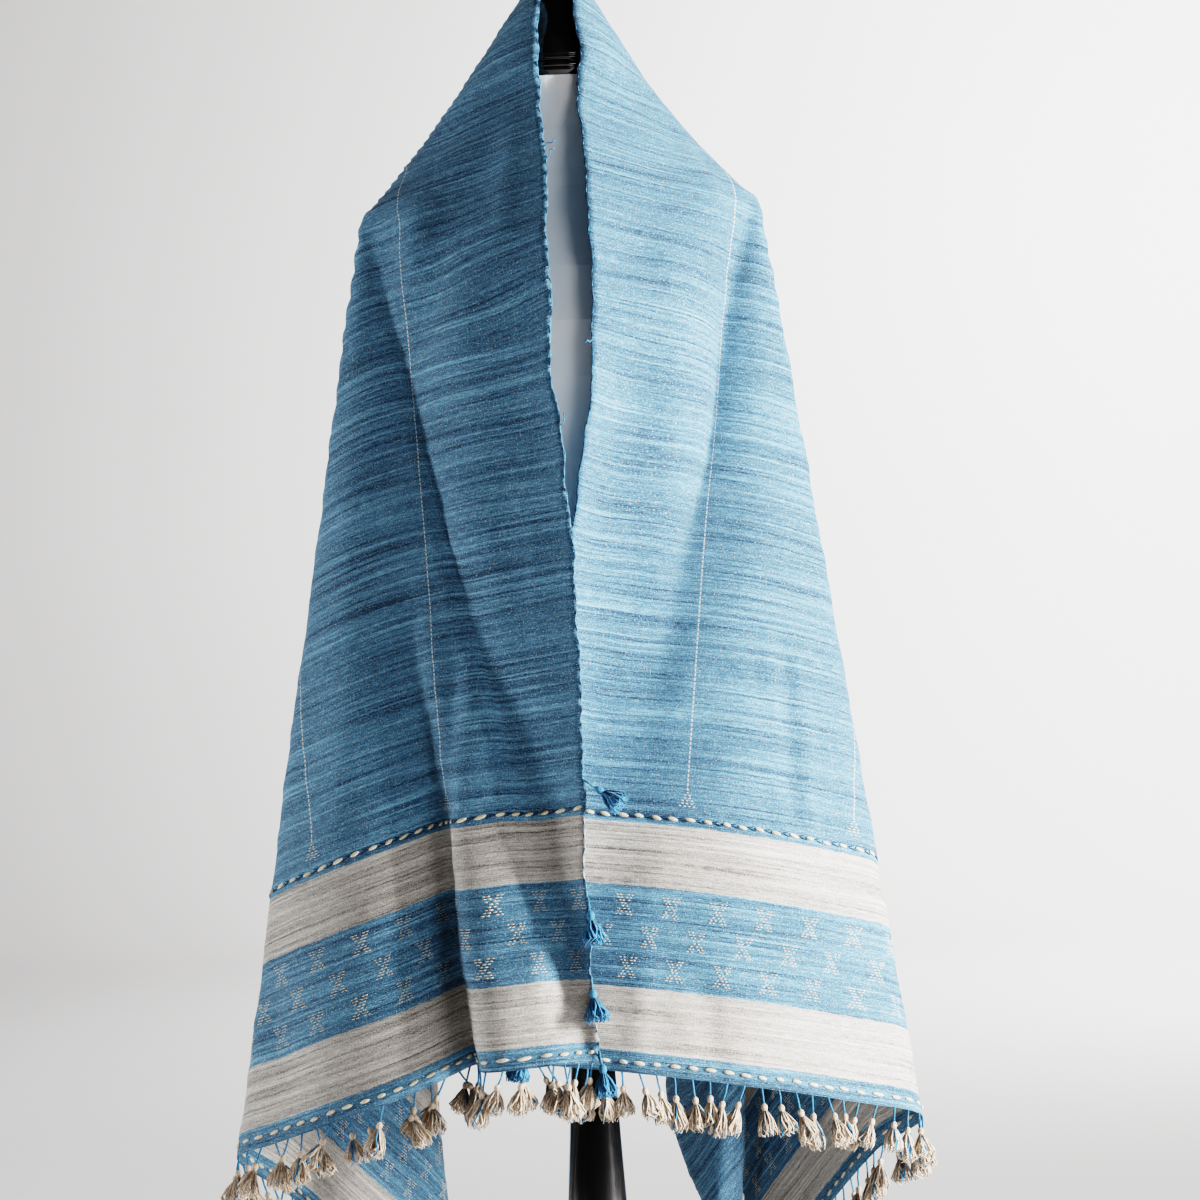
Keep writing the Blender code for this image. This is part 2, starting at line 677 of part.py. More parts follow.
def matching_order(corners, square):
    """Order of a square's corners in which each lies under the nearest corner of the root face."""
    orders = []
    for turn in range(4):
        orders.append([(index + turn) % 4 for index in range(4)])
        orders.append([(turn - index) % 4 for index in range(4)])

    def spread(order):
        return sum(
            (vert.co.x - square[index][0]) ** 2 + (vert.co.y - square[index][1]) ** 2
            for vert, index in zip(corners, order)
        )

    return min(orders, key=spread)


def make_edge_tassel(number, side_name, along):
    """One small blue tassel on a thread from a front selvedge."""
    side = RIGHT if side_name == "right" else LEFT
    half = EDGE_TASSEL_HALF
    places = np.array((along, along, along - EDGE_THREAD_RISE))
    at_edge, inside, root = drape(side["out"] * places, [0.0, EDGE_TASSEL_INSET, 0.0])
    away = (at_edge - inside) / np.linalg.norm(at_edge - inside)
    knot = at_edge + away * (WALL + 1.6 * half) + np.array((0.0, -half, 0.0))
    root = root + away * (PART_GAP + 1.4 * EDGE_THREAD_HALF)
    sections = [(root, EDGE_THREAD_HALF)]
    for height, size in EDGE_TASSEL_RINGS:
        sections.append((knot + np.array((0.0, 0.0, height)), half * size))
    model = bmesh.new()
    rings = []
    for centre, reach in sections:
        ring = []
        for quarter in range(4):
            angle = math.pi * (0.25 + 0.5 * quarter)
            corner = (centre[0] + reach * math.cos(angle), centre[1] + reach * math.sin(angle), centre[2])
            ring.append(model.verts.new(corner))
        rings.append(ring)
    for upper, lower in zip(rings, rings[1:]):
        for index in range(4):
            after = (index + 1) % 4
            model.faces.new((upper[index], lower[index], lower[after], upper[after]))
    model.faces.new(rings[0])
    model.faces.new(list(reversed(rings[-1])))
    bmesh.ops.recalc_face_normals(model, faces=model.faces)
    name = "edge_tassel_%d" % number
    piece = bpy.data.objects.new(name, bpy.data.meshes.new(name))
    model.to_mesh(piece.data)
    model.free()
    return piece


def material_for(name):
    """Principled material of one kind of piece."""
    colour, roughness, metallic = MATERIALS[name]
    found = bpy.data.materials.get(name)
    if found:
        return found
    material = bpy.data.materials.new(name)
    material.use_nodes = True
    shader = material.node_tree.nodes["Principled BSDF"]
    shader.inputs["Base Color"].default_value = (*colour, 1.0)
    shader.inputs["Roughness"].default_value = roughness
    shader.inputs["Metallic"].default_value = metallic
    material.diffuse_color = (*colour, 1.0)
    return material


def main():
    for item in list(bpy.data.objects):
        bpy.data.objects.remove(item)
    collection = bpy.data.collections.new("shawl on a dress form")
    bpy.context.scene.collection.children.link(collection)
    cap_profile = [(CAP_BOTTOM + rise, radius) for rise, radius in CAP_PROFILE]
    pieces = [
        (make_front(RIGHT, "shawl_right_front"), "shawl_right_front"),
        (make_front(LEFT, "shawl_left_front"), "shawl_left_front"),
        (make_back(), "shawl_back"),
        (make_fringe(RIGHT, "fringe_right"), "fringe"),
        (make_fringe(LEFT, "fringe_left"), "fringe"),
        (make_torso(), "form_torso"),
        (turned("form_neck_cap", cap_profile, CAP_STEPS, (0.0, CAP_CENTRE_Y, 0.0)), "form_neck_cap"),
        (turned("form_post", POST_PROFILE, POST_STEPS), "form_post"),
        (make_base(), "form_base"),
    ]
    for number, (side_name, along) in enumerate(EDGE_TASSELS, start=1):
        pieces.append((make_edge_tassel(number, side_name, along), "edge_tassel"))
    for piece, finish in pieces:
        piece.data.materials.append(material_for(finish))
        collection.objects.link(piece)


main()
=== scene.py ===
"""Looks of a handwoven blue shawl on a limbless dress form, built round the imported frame.

Metres, +Z up, -Y towards the camera. Each section makes one piece, and opens with what the real one is.
"""

import math
import random

import bpy
import numpy as np
from mathutils import Matrix, Vector


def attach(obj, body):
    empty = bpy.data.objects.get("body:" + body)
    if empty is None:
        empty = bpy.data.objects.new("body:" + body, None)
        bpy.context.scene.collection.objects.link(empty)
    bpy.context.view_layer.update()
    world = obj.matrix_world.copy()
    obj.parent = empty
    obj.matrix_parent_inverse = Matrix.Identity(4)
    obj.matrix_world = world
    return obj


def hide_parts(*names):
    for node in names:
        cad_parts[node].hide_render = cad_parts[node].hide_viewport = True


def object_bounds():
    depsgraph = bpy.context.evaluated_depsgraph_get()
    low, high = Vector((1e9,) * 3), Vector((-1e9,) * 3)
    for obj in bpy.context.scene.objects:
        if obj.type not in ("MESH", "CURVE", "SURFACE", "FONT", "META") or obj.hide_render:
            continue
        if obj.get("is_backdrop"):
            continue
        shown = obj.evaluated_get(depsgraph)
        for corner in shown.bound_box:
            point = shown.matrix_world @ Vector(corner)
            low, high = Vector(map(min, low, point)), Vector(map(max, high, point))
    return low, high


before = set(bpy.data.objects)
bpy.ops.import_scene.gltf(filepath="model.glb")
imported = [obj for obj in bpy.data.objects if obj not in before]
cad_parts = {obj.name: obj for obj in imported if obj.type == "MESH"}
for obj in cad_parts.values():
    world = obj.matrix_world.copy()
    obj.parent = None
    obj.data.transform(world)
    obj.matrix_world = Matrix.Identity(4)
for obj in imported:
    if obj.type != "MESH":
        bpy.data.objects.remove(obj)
cad_low, cad_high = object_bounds()


# Room.
# The form stands in front of a plain pale wall. The photo ends above the floor, so the floor here is a
# plain pale sheet that sweeps up into the wall well behind the form. Past its edges there is only the pale
# far room.

FLOOR_HALF_WIDTH = 2.7
FLOOR_FRONT = -2.4
SWEEP_START = 4.6
SWEEP_RADIUS = 1.2
WALL_TOP = 6.0


class Level:
    """A socket of a material's node tree that is used like a number in ordinary sums."""

    def __init__(self, paint, socket):
        self.paint = paint
        self.socket = socket

    def math(self, operation, *others):
        return self.paint.node("ShaderNodeMath", {"operation": operation}, dict(enumerate((self, *others))))

    def __add__(self, other):
        return self.math("ADD", other)

    def __radd__(self, other):
        return self.math("ADD", other)

    def __sub__(self, other):
        return self.math("SUBTRACT", other)

    def __rsub__(self, other):
        return self.paint.node("ShaderNodeMath", {"operation": "SUBTRACT"}, {0: other, 1: self})

    def __mul__(self, other):
        return self.math("MULTIPLY", other)

    def __rmul__(self, other):
        return self.math("MULTIPLY", other)

    def above(self, edge, soft):
        """0 below the edge and 1 above it, smooth across a width of twice `soft`."""
        sockets = {"Value": self, "From Min": edge - soft, "From Max": edge + soft}
        return self.paint.node("ShaderNodeMapRange", {"interpolation_type": "SMOOTHSTEP"}, sockets)

    def between(self, low, high, soft):
        """1 between two edges and 0 outside them."""
        return self.above(low, soft) - self.above(high, soft)

    def off_line(self, start, pitch):
        """Distance to the nearest of a row of lines `pitch` apart, the first at `start`."""
        turns = (self - start) * (1.0 / pitch) + 0.5
        return ((turns.math("FRACT") - 0.5) * pitch).math("ABSOLUTE")


class Paint:
    """A procedural material: constants on its surface, and nodes that are made by one method."""

    def __init__(self, name, constants):
        self.material = bpy.data.materials.new(name)
        self.material.use_nodes = True
        self.tree = self.material.node_tree
        self.surface = self.tree.nodes["Principled BSDF"]
        for socket, value in constants.items():
            self.surface.inputs[socket].default_value = value

    def put(self, socket, value):
        if isinstance(value, Level):
            self.tree.links.new(value.socket, socket)
        else:
            socket.default_value = value

    def node(self, kind, settings, sockets, out=0):
        """New node of a kind, with its settings and sockets, read at one of its outputs."""
        made = self.tree.nodes.new(kind)
        for setting, value in settings.items():
            setattr(made, setting, value)
        for socket, value in sockets.items():
            self.put(made.inputs[socket], value)
        return Level(self, made.outputs[out])

    def noise(self, along, across, depth=0.0, detail=2.0):
        """Cloudy value round 0.5 whose three directions are already stretched by the caller."""
        place = self.node("ShaderNodeCombineXYZ", {}, {0: along, 1: across, 2: depth})
        return self.node("ShaderNodeTexNoise", {}, {"Vector": place, "Scale": 1.0, "Detail": detail})

    def mix(self, share, first, second):
        """Colour between two colours: sockets 6 and 7 of a Mix node, read at its output 2."""
        return self.node("ShaderNodeMix", {"data_type": "RGBA"}, {0: share, 6: first, 7: second}, 2)

    def object_place(self):
        """The three coordinates of the object, in metres."""
        place = self.node("ShaderNodeTexCoord", {}, {}, "Object")
        return [self.node("ShaderNodeSeparateXYZ", {}, {0: place}, axis) for axis in range(3)]

    def finish(self, colour, roughness, height=None, strength=0.0, distance=0.0):
        """Feed the surface, with an optional bump of a height in 0 to 1."""
        self.put(self.surface.inputs["Base Color"], colour)
        self.put(self.surface.inputs["Roughness"], roughness)
        if height is not None:
            sockets = {"Strength": strength, "Distance": distance, "Height": height}
            self.put(self.surface.inputs["Normal"], self.node("ShaderNodeBump", {}, sockets))
        return self.material


def mesh_piece(name, points, faces, materials, kinds=None):
    """New smooth mesh object in the scene, with a material index for each face."""
    mesh = bpy.data.meshes.new(name)
    mesh.from_pydata(np.asarray(points, float).tolist(), [], faces)
    for material in materials:
        mesh.materials.append(material)
    if kinds is not None:
        mesh.polygons.foreach_set("material_index", kinds)
    mesh.shade_smooth()
    mesh.update()
    piece = bpy.data.objects.new(name, mesh)
    bpy.context.scene.collection.objects.link(piece)
    return piece


SWEEP_STEPS = 12

paint = Paint("room_paint", {"Specular IOR Level": 0.2})
room_x, room_y, room_z = paint.object_place()
clouds = paint.noise(0.7 * room_x, 0.7 * room_y, 0.7 * room_z)
colour = paint.mix(clouds, (0.80, 0.79, 0.785, 1.0), (0.86, 0.855, 0.855, 1.0))
room_paint = paint.finish(colour, 0.8 + 0.1 * clouds)

profile = [(FLOOR_FRONT, 0.0), (SWEEP_START, 0.0)]
for step in range(1, SWEEP_STEPS + 1):
    angle = math.radians(90.0 * step / SWEEP_STEPS)
    profile.append((SWEEP_START + SWEEP_RADIUS * math.sin(angle), SWEEP_RADIUS * (1.0 - math.cos(angle))))
profile.append((SWEEP_START + SWEEP_RADIUS, WALL_TOP))
points = [(side * FLOOR_HALF_WIDTH, y, z) for y, z in profile for side in (-1.0, 1.0)]
faces = [(2 * row, 2 * row + 1, 2 * row + 3, 2 * row + 2) for row in range(len(profile) - 1)]
room = mesh_piece("room", points, faces, [room_paint])
room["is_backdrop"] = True


# Daylight and camera.
# A large window to the right lights the right panel strongly. The left side gets a weak soft light, and
# little reaches the front. The photo is taken level with the cloth's lower half, and the form leans left in
# it by 2 degrees.

CAMERA_PLACE = (0.0213, -2.5, 0.92)
CAMERA_LENS = 81.0
CAMERA_SENSOR = 36.0
CAMERA_ROLL = math.radians(-1.96)
# Columns: name, place, aim, width, height, watts, colour.
WINDOWS = [
    ("window_right", (2.56, -0.92, 1.12), (0.05, -0.1, 0.85), 0.40, 1.4, 215.0, (1.0, 0.99, 0.98)),
    ("window_front", (1.30, -2.10, 1.80), (-0.05, 0.0, 1.25), 0.8, 0.9, 12.0, (1.0, 0.99, 0.98)),
    ("light_left", (-2.50, 0.24, 1.10), (-0.2, 0.0, 0.80), 0.6, 1.6, 38.0, (0.97, 0.985, 1.0)),
    ("wall_light", (2.30, 2.80, 2.60), (1.70, 5.80, 1.40), 1.6, 1.2, 200.0, (1.0, 0.99, 0.985)),
    ("rear_light", (-1.10, 3.20, 2.40), (0.0, 0.0, 0.80), 2.0, 1.4, 14.0, (0.97, 0.985, 1.0)),
]
ROOM_COLOUR = (0.80, 0.80, 0.81, 1.0)
ROOM_LIGHT = 0.03

camera = bpy.data.objects.new("camera", bpy.data.cameras.new("camera"))
bpy.context.scene.collection.objects.link(camera)
camera.data.lens = CAMERA_LENS
camera.data.sensor_width = CAMERA_SENSOR
turn = Matrix.Rotation(math.radians(90.0), 4, "X") @ Matrix.Rotation(CAMERA_ROLL, 4, "Z")
camera.matrix_world = Matrix.Translation(CAMERA_PLACE) @ turn
bpy.context.scene.camera = camera

for name, place, aim, width, height, watts, tint in WINDOWS:
    light = bpy.data.lights.new(name, "AREA")
    light.shape = "RECTANGLE"
    light.size = width
    light.size_y = height
    light.energy = watts
    light.color = tint
    lamp = bpy.data.objects.new(name, light)
    bpy.context.scene.collection.objects.link(lamp)
    lamp.location = place
    lamp.rotation_euler = (Vector(aim) - Vector(place)).to_track_quat("-Z", "Y").to_euler()
    lamp.visible_camera = False

# The room's far side looks as pale as the wall, but little light comes from it.
world = bpy.data.worlds.new("room_light")
world.use_nodes = True
backdrop = world.node_tree.nodes["Background"]
backdrop.inputs["Color"].default_value = ROOM_COLOUR
seen = world.node_tree.nodes.new("ShaderNodeLightPath")
strength = world.node_tree.nodes.new("ShaderNodeMapRange")
strength.inputs["To Min"].default_value = ROOM_LIGHT
world.node_tree.links.new(seen.outputs["Is Camera Ray"], strength.inputs["Value"])
world.node_tree.links.new(strength.outputs["Result"], backdrop.inputs["Strength"])
bpy.context.scene.world = world
bpy.context.scene.view_settings.view_transform = "Filmic"
bpy.context.scene.view_settings.look = "Very High Contrast"


# Shawl.
# One handwoven rectangle of slubby indigo-blue yarn, 0.914 m wide and 2.11 m long, is laid over both
# shoulders. Near each end it has two grey-beige bands with a blue band between, and fine cream warp threads
# run its length.

WIDTH = 0.914
HALF_LENGTH = 1.055
CLOTH_WALL = 0.0013
# How the cloth turns over a shoulder.
TIP_ROUNDING = 0.012
TIP_AXIS = (-0.5, 0.0, -0.866)
FOLD_START = 0.35
NECK_REACH = 0.23
# The two sides meet over the back across this far each way, less by the neck edge, full this far down.
NECK_BLEND = 0.07
NECK_BLEND_DEPTH = 0.15
FORM_CLEARANCE = 0.0042
FORM_SOFTNESS = 0.0060
# The push fades out over this height above the torso's lower edge.
FORM_FADE = 0.05
LEAST_SCALE = 0.05

# Each row is a line of cloth that runs from the shoulder point to the edge of the rectangle.
# Columns: what shows there, angle in the flat cloth (0 = straight to the hem, 90 = straight to the outer
# selvedge), direction on the form as out, forward and up (any length), reach (length that is drawn in, or
# stretched on the bias), and how far from the shoulder point a fold is full (0 for the plain shape).
LEFT_LINES = [
    ("centre back, under the neck roll", -180.0, -0.179, -0.099, 0.040, 0.926, 0.0),
    ("centre back, nape", -160.0, -0.179, -0.072, 0.122, 0.952, 0.0),
    ("centre back, top edge", -142.1, -0.179, -0.027, 0.205, 0.959, 0.0),
    ("neck edge, side", -137.5, -0.150, 0.004, 0.199, 0.963, 0.0),
    ("neck edge, top", -132.0, -0.161, 0.029, 0.190, 1.062, 0.0),
    ("neck edge, cap", -122.0, -0.161, 0.043, 0.144, 1.065, 0.0),
    ("neck front", -110.0, -0.1610, 0.055, 0.102, 1.070, 0.0),
    ("front edge at the collar bone", -90.0, -0.161, 0.080, 0.043, 1.05, 0.0),
    ("front edge over the chest", -70.0, -0.159, 0.102, -0.022, 1.02, 0.0),
    ("front edge, bust", -53.0, -0.160, 0.120, -0.092, 1.00, 0.0),
    ("front edge below the bust", -40.0, -0.161, 0.128, -0.167, 0.975, 0.0),
    ("front edge goes under", -30.0, -0.173, 0.112, -0.262, 0.965, 0.0),
    ("front edge, hidden", -22.0, -0.199, 0.098, -0.392, 0.975, 0.0),
    ("front edge, stitch line", -16.0, -0.224, 0.092, -0.567, 0.977, 0.0),
    ("front edge at the hem", -11.9, -0.302, 0.116, -0.943, 0.983, 0.0),
    ("panel inner third", -4.0, -0.172, 0.132, -0.975, 0.985, 0.0),
    ("panel middle", 2.5, -0.058, 0.124, -0.991, 0.990, 0.0),
    ("panel outer third", 9.0, 0.052, 0.076, -0.995, 1.000, 0.0),
    ("side silhouette", 15.0, 0.140, -0.002, -0.990, 1.018, 0.0),
    ("side turn", 20.0, 0.092, -0.066, -0.993, 1.036, 0.0),
    ("back layer", 30.0, 0.010, -0.150, -0.988, 1.080, 0.14),
    ("inner fold", 40.5, -0.056, -0.204, -0.977, 1.090, 0.14),
    ("inner fold, turn", 44.5, -0.076, -0.182, -0.980, 1.090, 0.14),
    ("roll, right side", 48.5, -0.042, -0.136, -0.989, 1.080, 0.14),
    ("roll, front", 51.0, -0.066, -0.104, -0.992, 1.060, 0.14),
    ("roll, left side", 54.5, -0.098, -0.145, -0.985, 1.050, 0.14),
    ("behind the roll", 58.0, -0.125, -0.225, -0.966, 1.02, 0.14),
    ("round the inner fold", 62.0, -0.084, -0.288, -0.954, 1.01, 0.14),
    ("inner layer", 67.0, -0.010, -0.240, -0.971, 1.00, 0.14),
    ("inner layer, side", 73.0, 0.078, -0.165, -0.983, 0.99, 0.14),
    ("outer turn", 77.0, 0.122, -0.178, -0.976, 0.98, 0.14),
    ("outer layer, side", 81.0, 0.072, -0.245, -0.967, 0.97, 0.14),
    ("outer layer, first hollow", 85.5, -0.010, -0.300, -0.954, 0.97, 0.14),
    ("outer layer, first fold", 94.0, -0.078, -0.335, -0.939, 0.97, 0.14),
    ("outer layer, second hollow", 99.0, -0.135, -0.255, -0.957, 0.97, 0.14),
    ("outer layer, second fold", 103.5, -0.190, -0.290, -0.938, 0.96, 0.14),
    ("centre back, lower edge", 108.0, -0.245, -0.205, -0.948, 0.96, 0.0),
    ("centre back, waist", 120.0, -0.179, -0.135, -0.352, 0.93, 0.0),
    ("centre back, shoulder blades", 140.0, -0.179, -0.120, -0.152, 0.90, 0.0),
    ("centre back, upper", 160.0, -0.179, -0.112, -0.047, 0.90, 0.0),
]

RIGHT_LINES = [
    ("centre back, under the neck roll", -180.0, -0.186, -0.100, 0.039, 0.94, 0.0),
    ("centre back, nape", -160.0, -0.186, -0.076, 0.116, 0.966, 0.0),
    ("centre back, top edge", -139.8, -0.186, -0.027, 0.211, 0.960, 0.0),
    ("neck edge, side", -135.8, -0.157, 0.004, 0.205, 0.948, 0.0),
    ("neck edge, top", -131.0, -0.168, 0.029, 0.198, 1.036, 0.0),
    ("neck edge, cap", -122.0, -0.168, 0.043, 0.154, 1.035, 0.0),
    ("neck front", -110.0, -0.167, 0.055, 0.108, 1.022, 0.0),
    ("front edge at the collar bone", -90.0, -0.1725, 0.080, 0.049, 1.03, 0.0),
    ("front edge over the chest", -70.0, -0.175, 0.106, -0.016, 1.01, 0.0),
    ("front edge, bust", -54.0, -0.175, 0.128, -0.086, 0.99, 0.0),
    ("front edge below the bust", -42.0, -0.1745, 0.138, -0.176, 0.98, 0.0),
    ("front edge, waist", -32.0, -0.180, 0.138, -0.266, 0.975, 0.0),
    ("front edge, hip", -24.0, -0.187, 0.144, -0.386, 0.965, 0.0),
    ("front edge, stitch line", -17.5, -0.190, 0.150, -0.561, 0.96, 0.0),
    ("front edge at the hem", -12.9, -0.2426, 0.178, -0.956, 0.957, 0.0),
    ("front strip", -9.4, -0.190, 0.189, -0.965, 0.959, 0.0),
    ("front strip, fold", -6.0, -0.119, 0.174, -0.977, 0.960, 0.80),
    ("valley beside the strip", -2.3, -0.105, 0.092, -0.990, 0.957, 0.80),
    ("ridge", 3.4, -0.027, 0.143, -0.989, 0.980, 0.55),
    ("panel outer third", 8.6, 0.062, 0.118, -0.991, 1.000, 0.0),
    ("soft hollow by the side", 12.4, 0.120, 0.062, -0.991, 1.015, 0.80),
    ("side silhouette", 16.0, 0.162, 0.002, -0.987, 1.030, 0.0),
    ("side turn", 21.5, 0.116, -0.066, -0.991, 1.045, 0.0),
    ("back layer", 30.5, 0.036, -0.150, -0.988, 1.075, 0.14),
    ("back layer, contour", 38.5, -0.032, -0.205, -0.978, 1.080, 0.14),
    ("turn behind the contour", 41.5, -0.024, -0.238, -0.971, 1.080, 0.14),
    ("inner layer", 46.5, 0.056, -0.205, -0.977, 1.060, 0.14),
    ("inner layer, side", 51.0, 0.116, -0.160, -0.980, 1.040, 0.14),
    ("outer turn", 54.0, 0.146, -0.186, -0.972, 1.020, 0.14),
    ("outer layer, side", 60.0, 0.080, -0.262, -0.962, 1.00, 0.14),
    ("outer layer, first hollow", 66.0, 0.000, -0.285, -0.959, 0.98, 0.14),
    ("outer layer, first fold", 72.0, -0.045, -0.352, -0.935, 0.97, 0.14),
    ("outer layer, second hollow", 79.0, -0.095, -0.262, -0.960, 0.97, 0.14),
    ("outer layer, second fold", 85.0, -0.135, -0.335, -0.933, 0.97, 0.20),
    ("outer layer, third hollow", 94.5, -0.176, -0.240, -0.955, 0.97, 0.20),
    ("outer layer, third fold", 100.0, -0.215, -0.290, -0.933, 0.97, 0.14),
    ("centre back, lower edge", 107.0, -0.252, -0.208, -0.945, 0.96, 0.0),
    ("centre back, waist", 120.0, -0.186, -0.135, -0.352, 0.93, 0.0),
    ("centre back, shoulder blades", 140.0, -0.186, -0.120, -0.152, 0.91, 0.0),
    ("centre back, upper", 160.0, -0.186, -0.112, -0.047, 0.91, 0.0),
]

# Where each side turns over the form, how far along and across the cloth that point lies, and how far the
# cloth sags between the neck and the shoulder.
LEFT = {
    "out": 1.0,
    "shoulder": (0.176, 0.0, 1.290),
    "along": 0.225,
    "across": 0.175,
    "sag": 0.019,
    "lines": LEFT_LINES,
}
RIGHT = {
    "out": -1.0,
    "shoulder": (-0.183, 0.0, 1.284),
    "along": 0.225,
    "across": 0.190,
    "sag": 0.004,
    "lines": RIGHT_LINES,
}

# Slopes of the cloth are read over this distance.
SLOPE_STEP = 0.0005

# The form under the cloth: a torso of rounded oblong sections, square by this power, and its turned cap.
TORSO_SQUARENESS = 2.3
# Dress form. Columns: height, half width, half depth, centre of the section in Y.
TORSO_SECTIONS = [
    (0.720, 0.118, 0.066, 0.010),
    (0.726, 0.124, 0.072, 0.010),
    (0.780, 0.132, 0.076, 0.014),
    (0.850, 0.128, 0.076, 0.015),
    (0.930, 0.118, 0.074, 0.013),
    (0.985, 0.116, 0.078, 0.006),
    (1.050, 0.126, 0.086, 0.002),
    (1.120, 0.130, 0.0975, -0.001),
    (1.170, 0.133, 0.101, 0.000),
    (1.220, 0.140, 0.094, 0.006),
    (1.250, 0.151, 0.084, 0.010),
    (1.270, 0.160, 0.076, 0.012),
    (1.284, 0.1645, 0.070, 0.012),
    (1.297, 0.159, 0.065, 0.012),
    (1.314, 0.143, 0.060, 0.012),
    (1.333, 0.120, 0.057, 0.012),
    (1.352, 0.096, 0.054, 0.011),
    (1.370, 0.076, 0.052, 0.008),
    (1.384, 0.062, 0.050, 0.005),
    (1.3987, 0.056, 0.049, 0.003),
]

CAP_BOTTOM = 1.399
# Columns: height above the cap's lower edge, radius.
CAP_PROFILE = [
    (0.000, 0.0505),
    (0.004, 0.0530),
    (0.010, 0.0530),
    (0.013, 0.0508),
    (0.016, 0.0515),
    (0.027, 0.0470),
    (0.041, 0.0398),
    (0.056, 0.0320),
    (0.071, 0.0250),
    (0.087, 0.0195),
    (0.104, 0.0180),
    (0.114, 0.0200),
    (0.122, 0.0230),
    (0.130, 0.0215),
    (0.136, 0.0150),
    (0.138, 0.0060),
]
CAP_CENTRE_Y = 0.003


def smooth_step(value):
    """Ease from 0 to 1 over the range 0 to 1."""
    value = np.clip(value, 0.0, 1.0)
    return value * value * (3.0 - 2.0 * value)


def spline_around(angles, values, at):
    """Read a closed smooth curve, given once round a full turn, at the angles `at`."""
    angles = np.asarray(angles)
    values = np.asarray(values)
    count = len(angles)
    at = (np.asarray(at) - angles[0]) % 360.0 + angles[0]
    start = np.searchsorted(angles, at, side="right") - 1
    start = np.clip(start, 0, count - 1)

    def knot(index):
        turn = np.floor_divide(index, count)
        return angles[index % count] + 360.0 * turn, values[index % count]

    before_at, before = knot(start - 1)
    first_at, first = knot(start)
    second_at, second = knot(start + 1)
    after_at, after = knot(start + 2)
    span = second_at - first_at
    share = ((at - first_at) / span)[:, None]
    slope_first = (second - before) / (second_at - before_at)[:, None] * span[:, None]
    slope_second = (after - first) / (after_at - first_at)[:, None] * span[:, None]
    square = share * share
    cube = square * share
    return (
        (2 * cube - 3 * square + 1) * first
        + (cube - 2 * square + share) * slope_first
        + (-2 * cube + 3 * square) * second
        + (cube - square) * slope_second
    )


def line_values(lines):
    """Unit direction and reach of each line, as an array with four columns."""
    found = []
    for _, _, out, forward, up, reach, _ in lines:
        length = math.sqrt(out * out + forward * forward + up * up)
        found.append((out / length, forward / length, up / length, reach))
    return np.array(found)


def fold_value(lines, angle, distance):
    """Direction and reach at each place: the plain shape near the shoulder, then each depth of folds."""
    value = None
    for full in sorted({line[6] for line in lines}):
        used = [line for line in lines if line[6] <= full]
        curve = spline_around([line[1] for line in used], line_values(used), angle)
        if value is None:
            value = curve
            continue
        start = full * FOLD_START
        share = smooth_step((distance - start) / (full - start))[:, None]
        value = value + (curve - value) * share
    return value


def drape_side(side, along, across):
    """Points of one side of the shawl, for arrays of places in the flat cloth."""
    away = along - side["along"]
    outward = across - side["across"]
    distance = np.hypot(away, outward)
    angle = np.degrees(np.arctan2(outward, away))
    value = fold_value(side["lines"], angle, distance)
    direction = value[:, :3] / np.linalg.norm(value[:, :3], axis=1)[:, None]
    length = distance * value[:, 3]
    offset = direction * length[:, None]
    into_form = np.array(TIP_AXIS)
    sunk = direction @ into_form
    rounded = np.sqrt(length * length + TIP_ROUNDING ** 2) - TIP_ROUNDING
    offset += (sunk * (rounded - length))[:, None] * into_form
    part_way = np.clip(distance / NECK_REACH, 0.0, 1.0)
    rise = np.clip(direction[:, 2], 0.0, 1.0)
    offset[:, 2] -= side["sag"] * rise * 4.0 * part_way * (1.0 - part_way)
    shoulder = side["shoulder"]
    return np.stack(
        (
            shoulder[0] + side["out"] * offset[:, 0],
            shoulder[1] - offset[:, 1],
            shoulder[2] + offset[:, 2],
        ),
        axis=1,
    )


def section_at(height):
    """Half width, half depth and centre of the dress form at a height, cap included."""
    cap_sections = [(CAP_BOTTOM + rise, radius, radius, CAP_CENTRE_Y) for rise, radius in CAP_PROFILE[1:10]]
    table = np.array(TORSO_SECTIONS + cap_sections)
    height = np.clip(height, table[0, 0], table[-1, 0])
    return [np.interp(height, table[:, 0], table[:, column]) for column in (1, 2, 3)]


def clear_of_form(points):
    """Push cloth that would lie inside the dress form out to just clear of it, with a soft edge."""
    points = points.copy()
    half_width, half_depth, centre = section_at(points[:, 2])
    beside = points[:, 0]
    behind = points[:, 1] - centre
    power = TORSO_SQUARENESS
    scale = (np.abs(beside / half_width) ** power + np.abs(behind / half_depth) ** power) ** (1.0 / power)
    scale = np.maximum(scale, LEAST_SCALE)
    radius = np.hypot(beside, behind)
    surface = radius / scale
    depth = radius - (surface + FORM_CLEARANCE)
    eased = FORM_SOFTNESS * np.log1p(np.exp(np.clip(depth / FORM_SOFTNESS, -40.0, 40.0)))
    wanted = surface + FORM_CLEARANCE + eased
    near_top = np.clip((points[:, 2] - TORSO_SECTIONS[0][0]) / FORM_FADE, 0.0, 1.0)
    grow = 1.0 + (wanted / np.maximum(radius, 0.001) - 1.0) * near_top
    points[:, 0] = beside * grow
    points[:, 1] = centre + behind * grow
    return points


def drape(along, across):
    """Points of the whole shawl: `along` is negative on the wearer's right."""
    along = np.asarray(along, float)
    across = np.asarray(across, float)
    left = drape_side(LEFT, along, across)
    right = drape_side(RIGHT, -along, across)
    reach = NECK_BLEND + (LEFT["along"] - NECK_BLEND) * smooth_step(across / NECK_BLEND_DEPTH)
    share = smooth_step(0.5 + 0.5 * along / reach)[:, None]
    return clear_of_form(right + (left - right) * share)


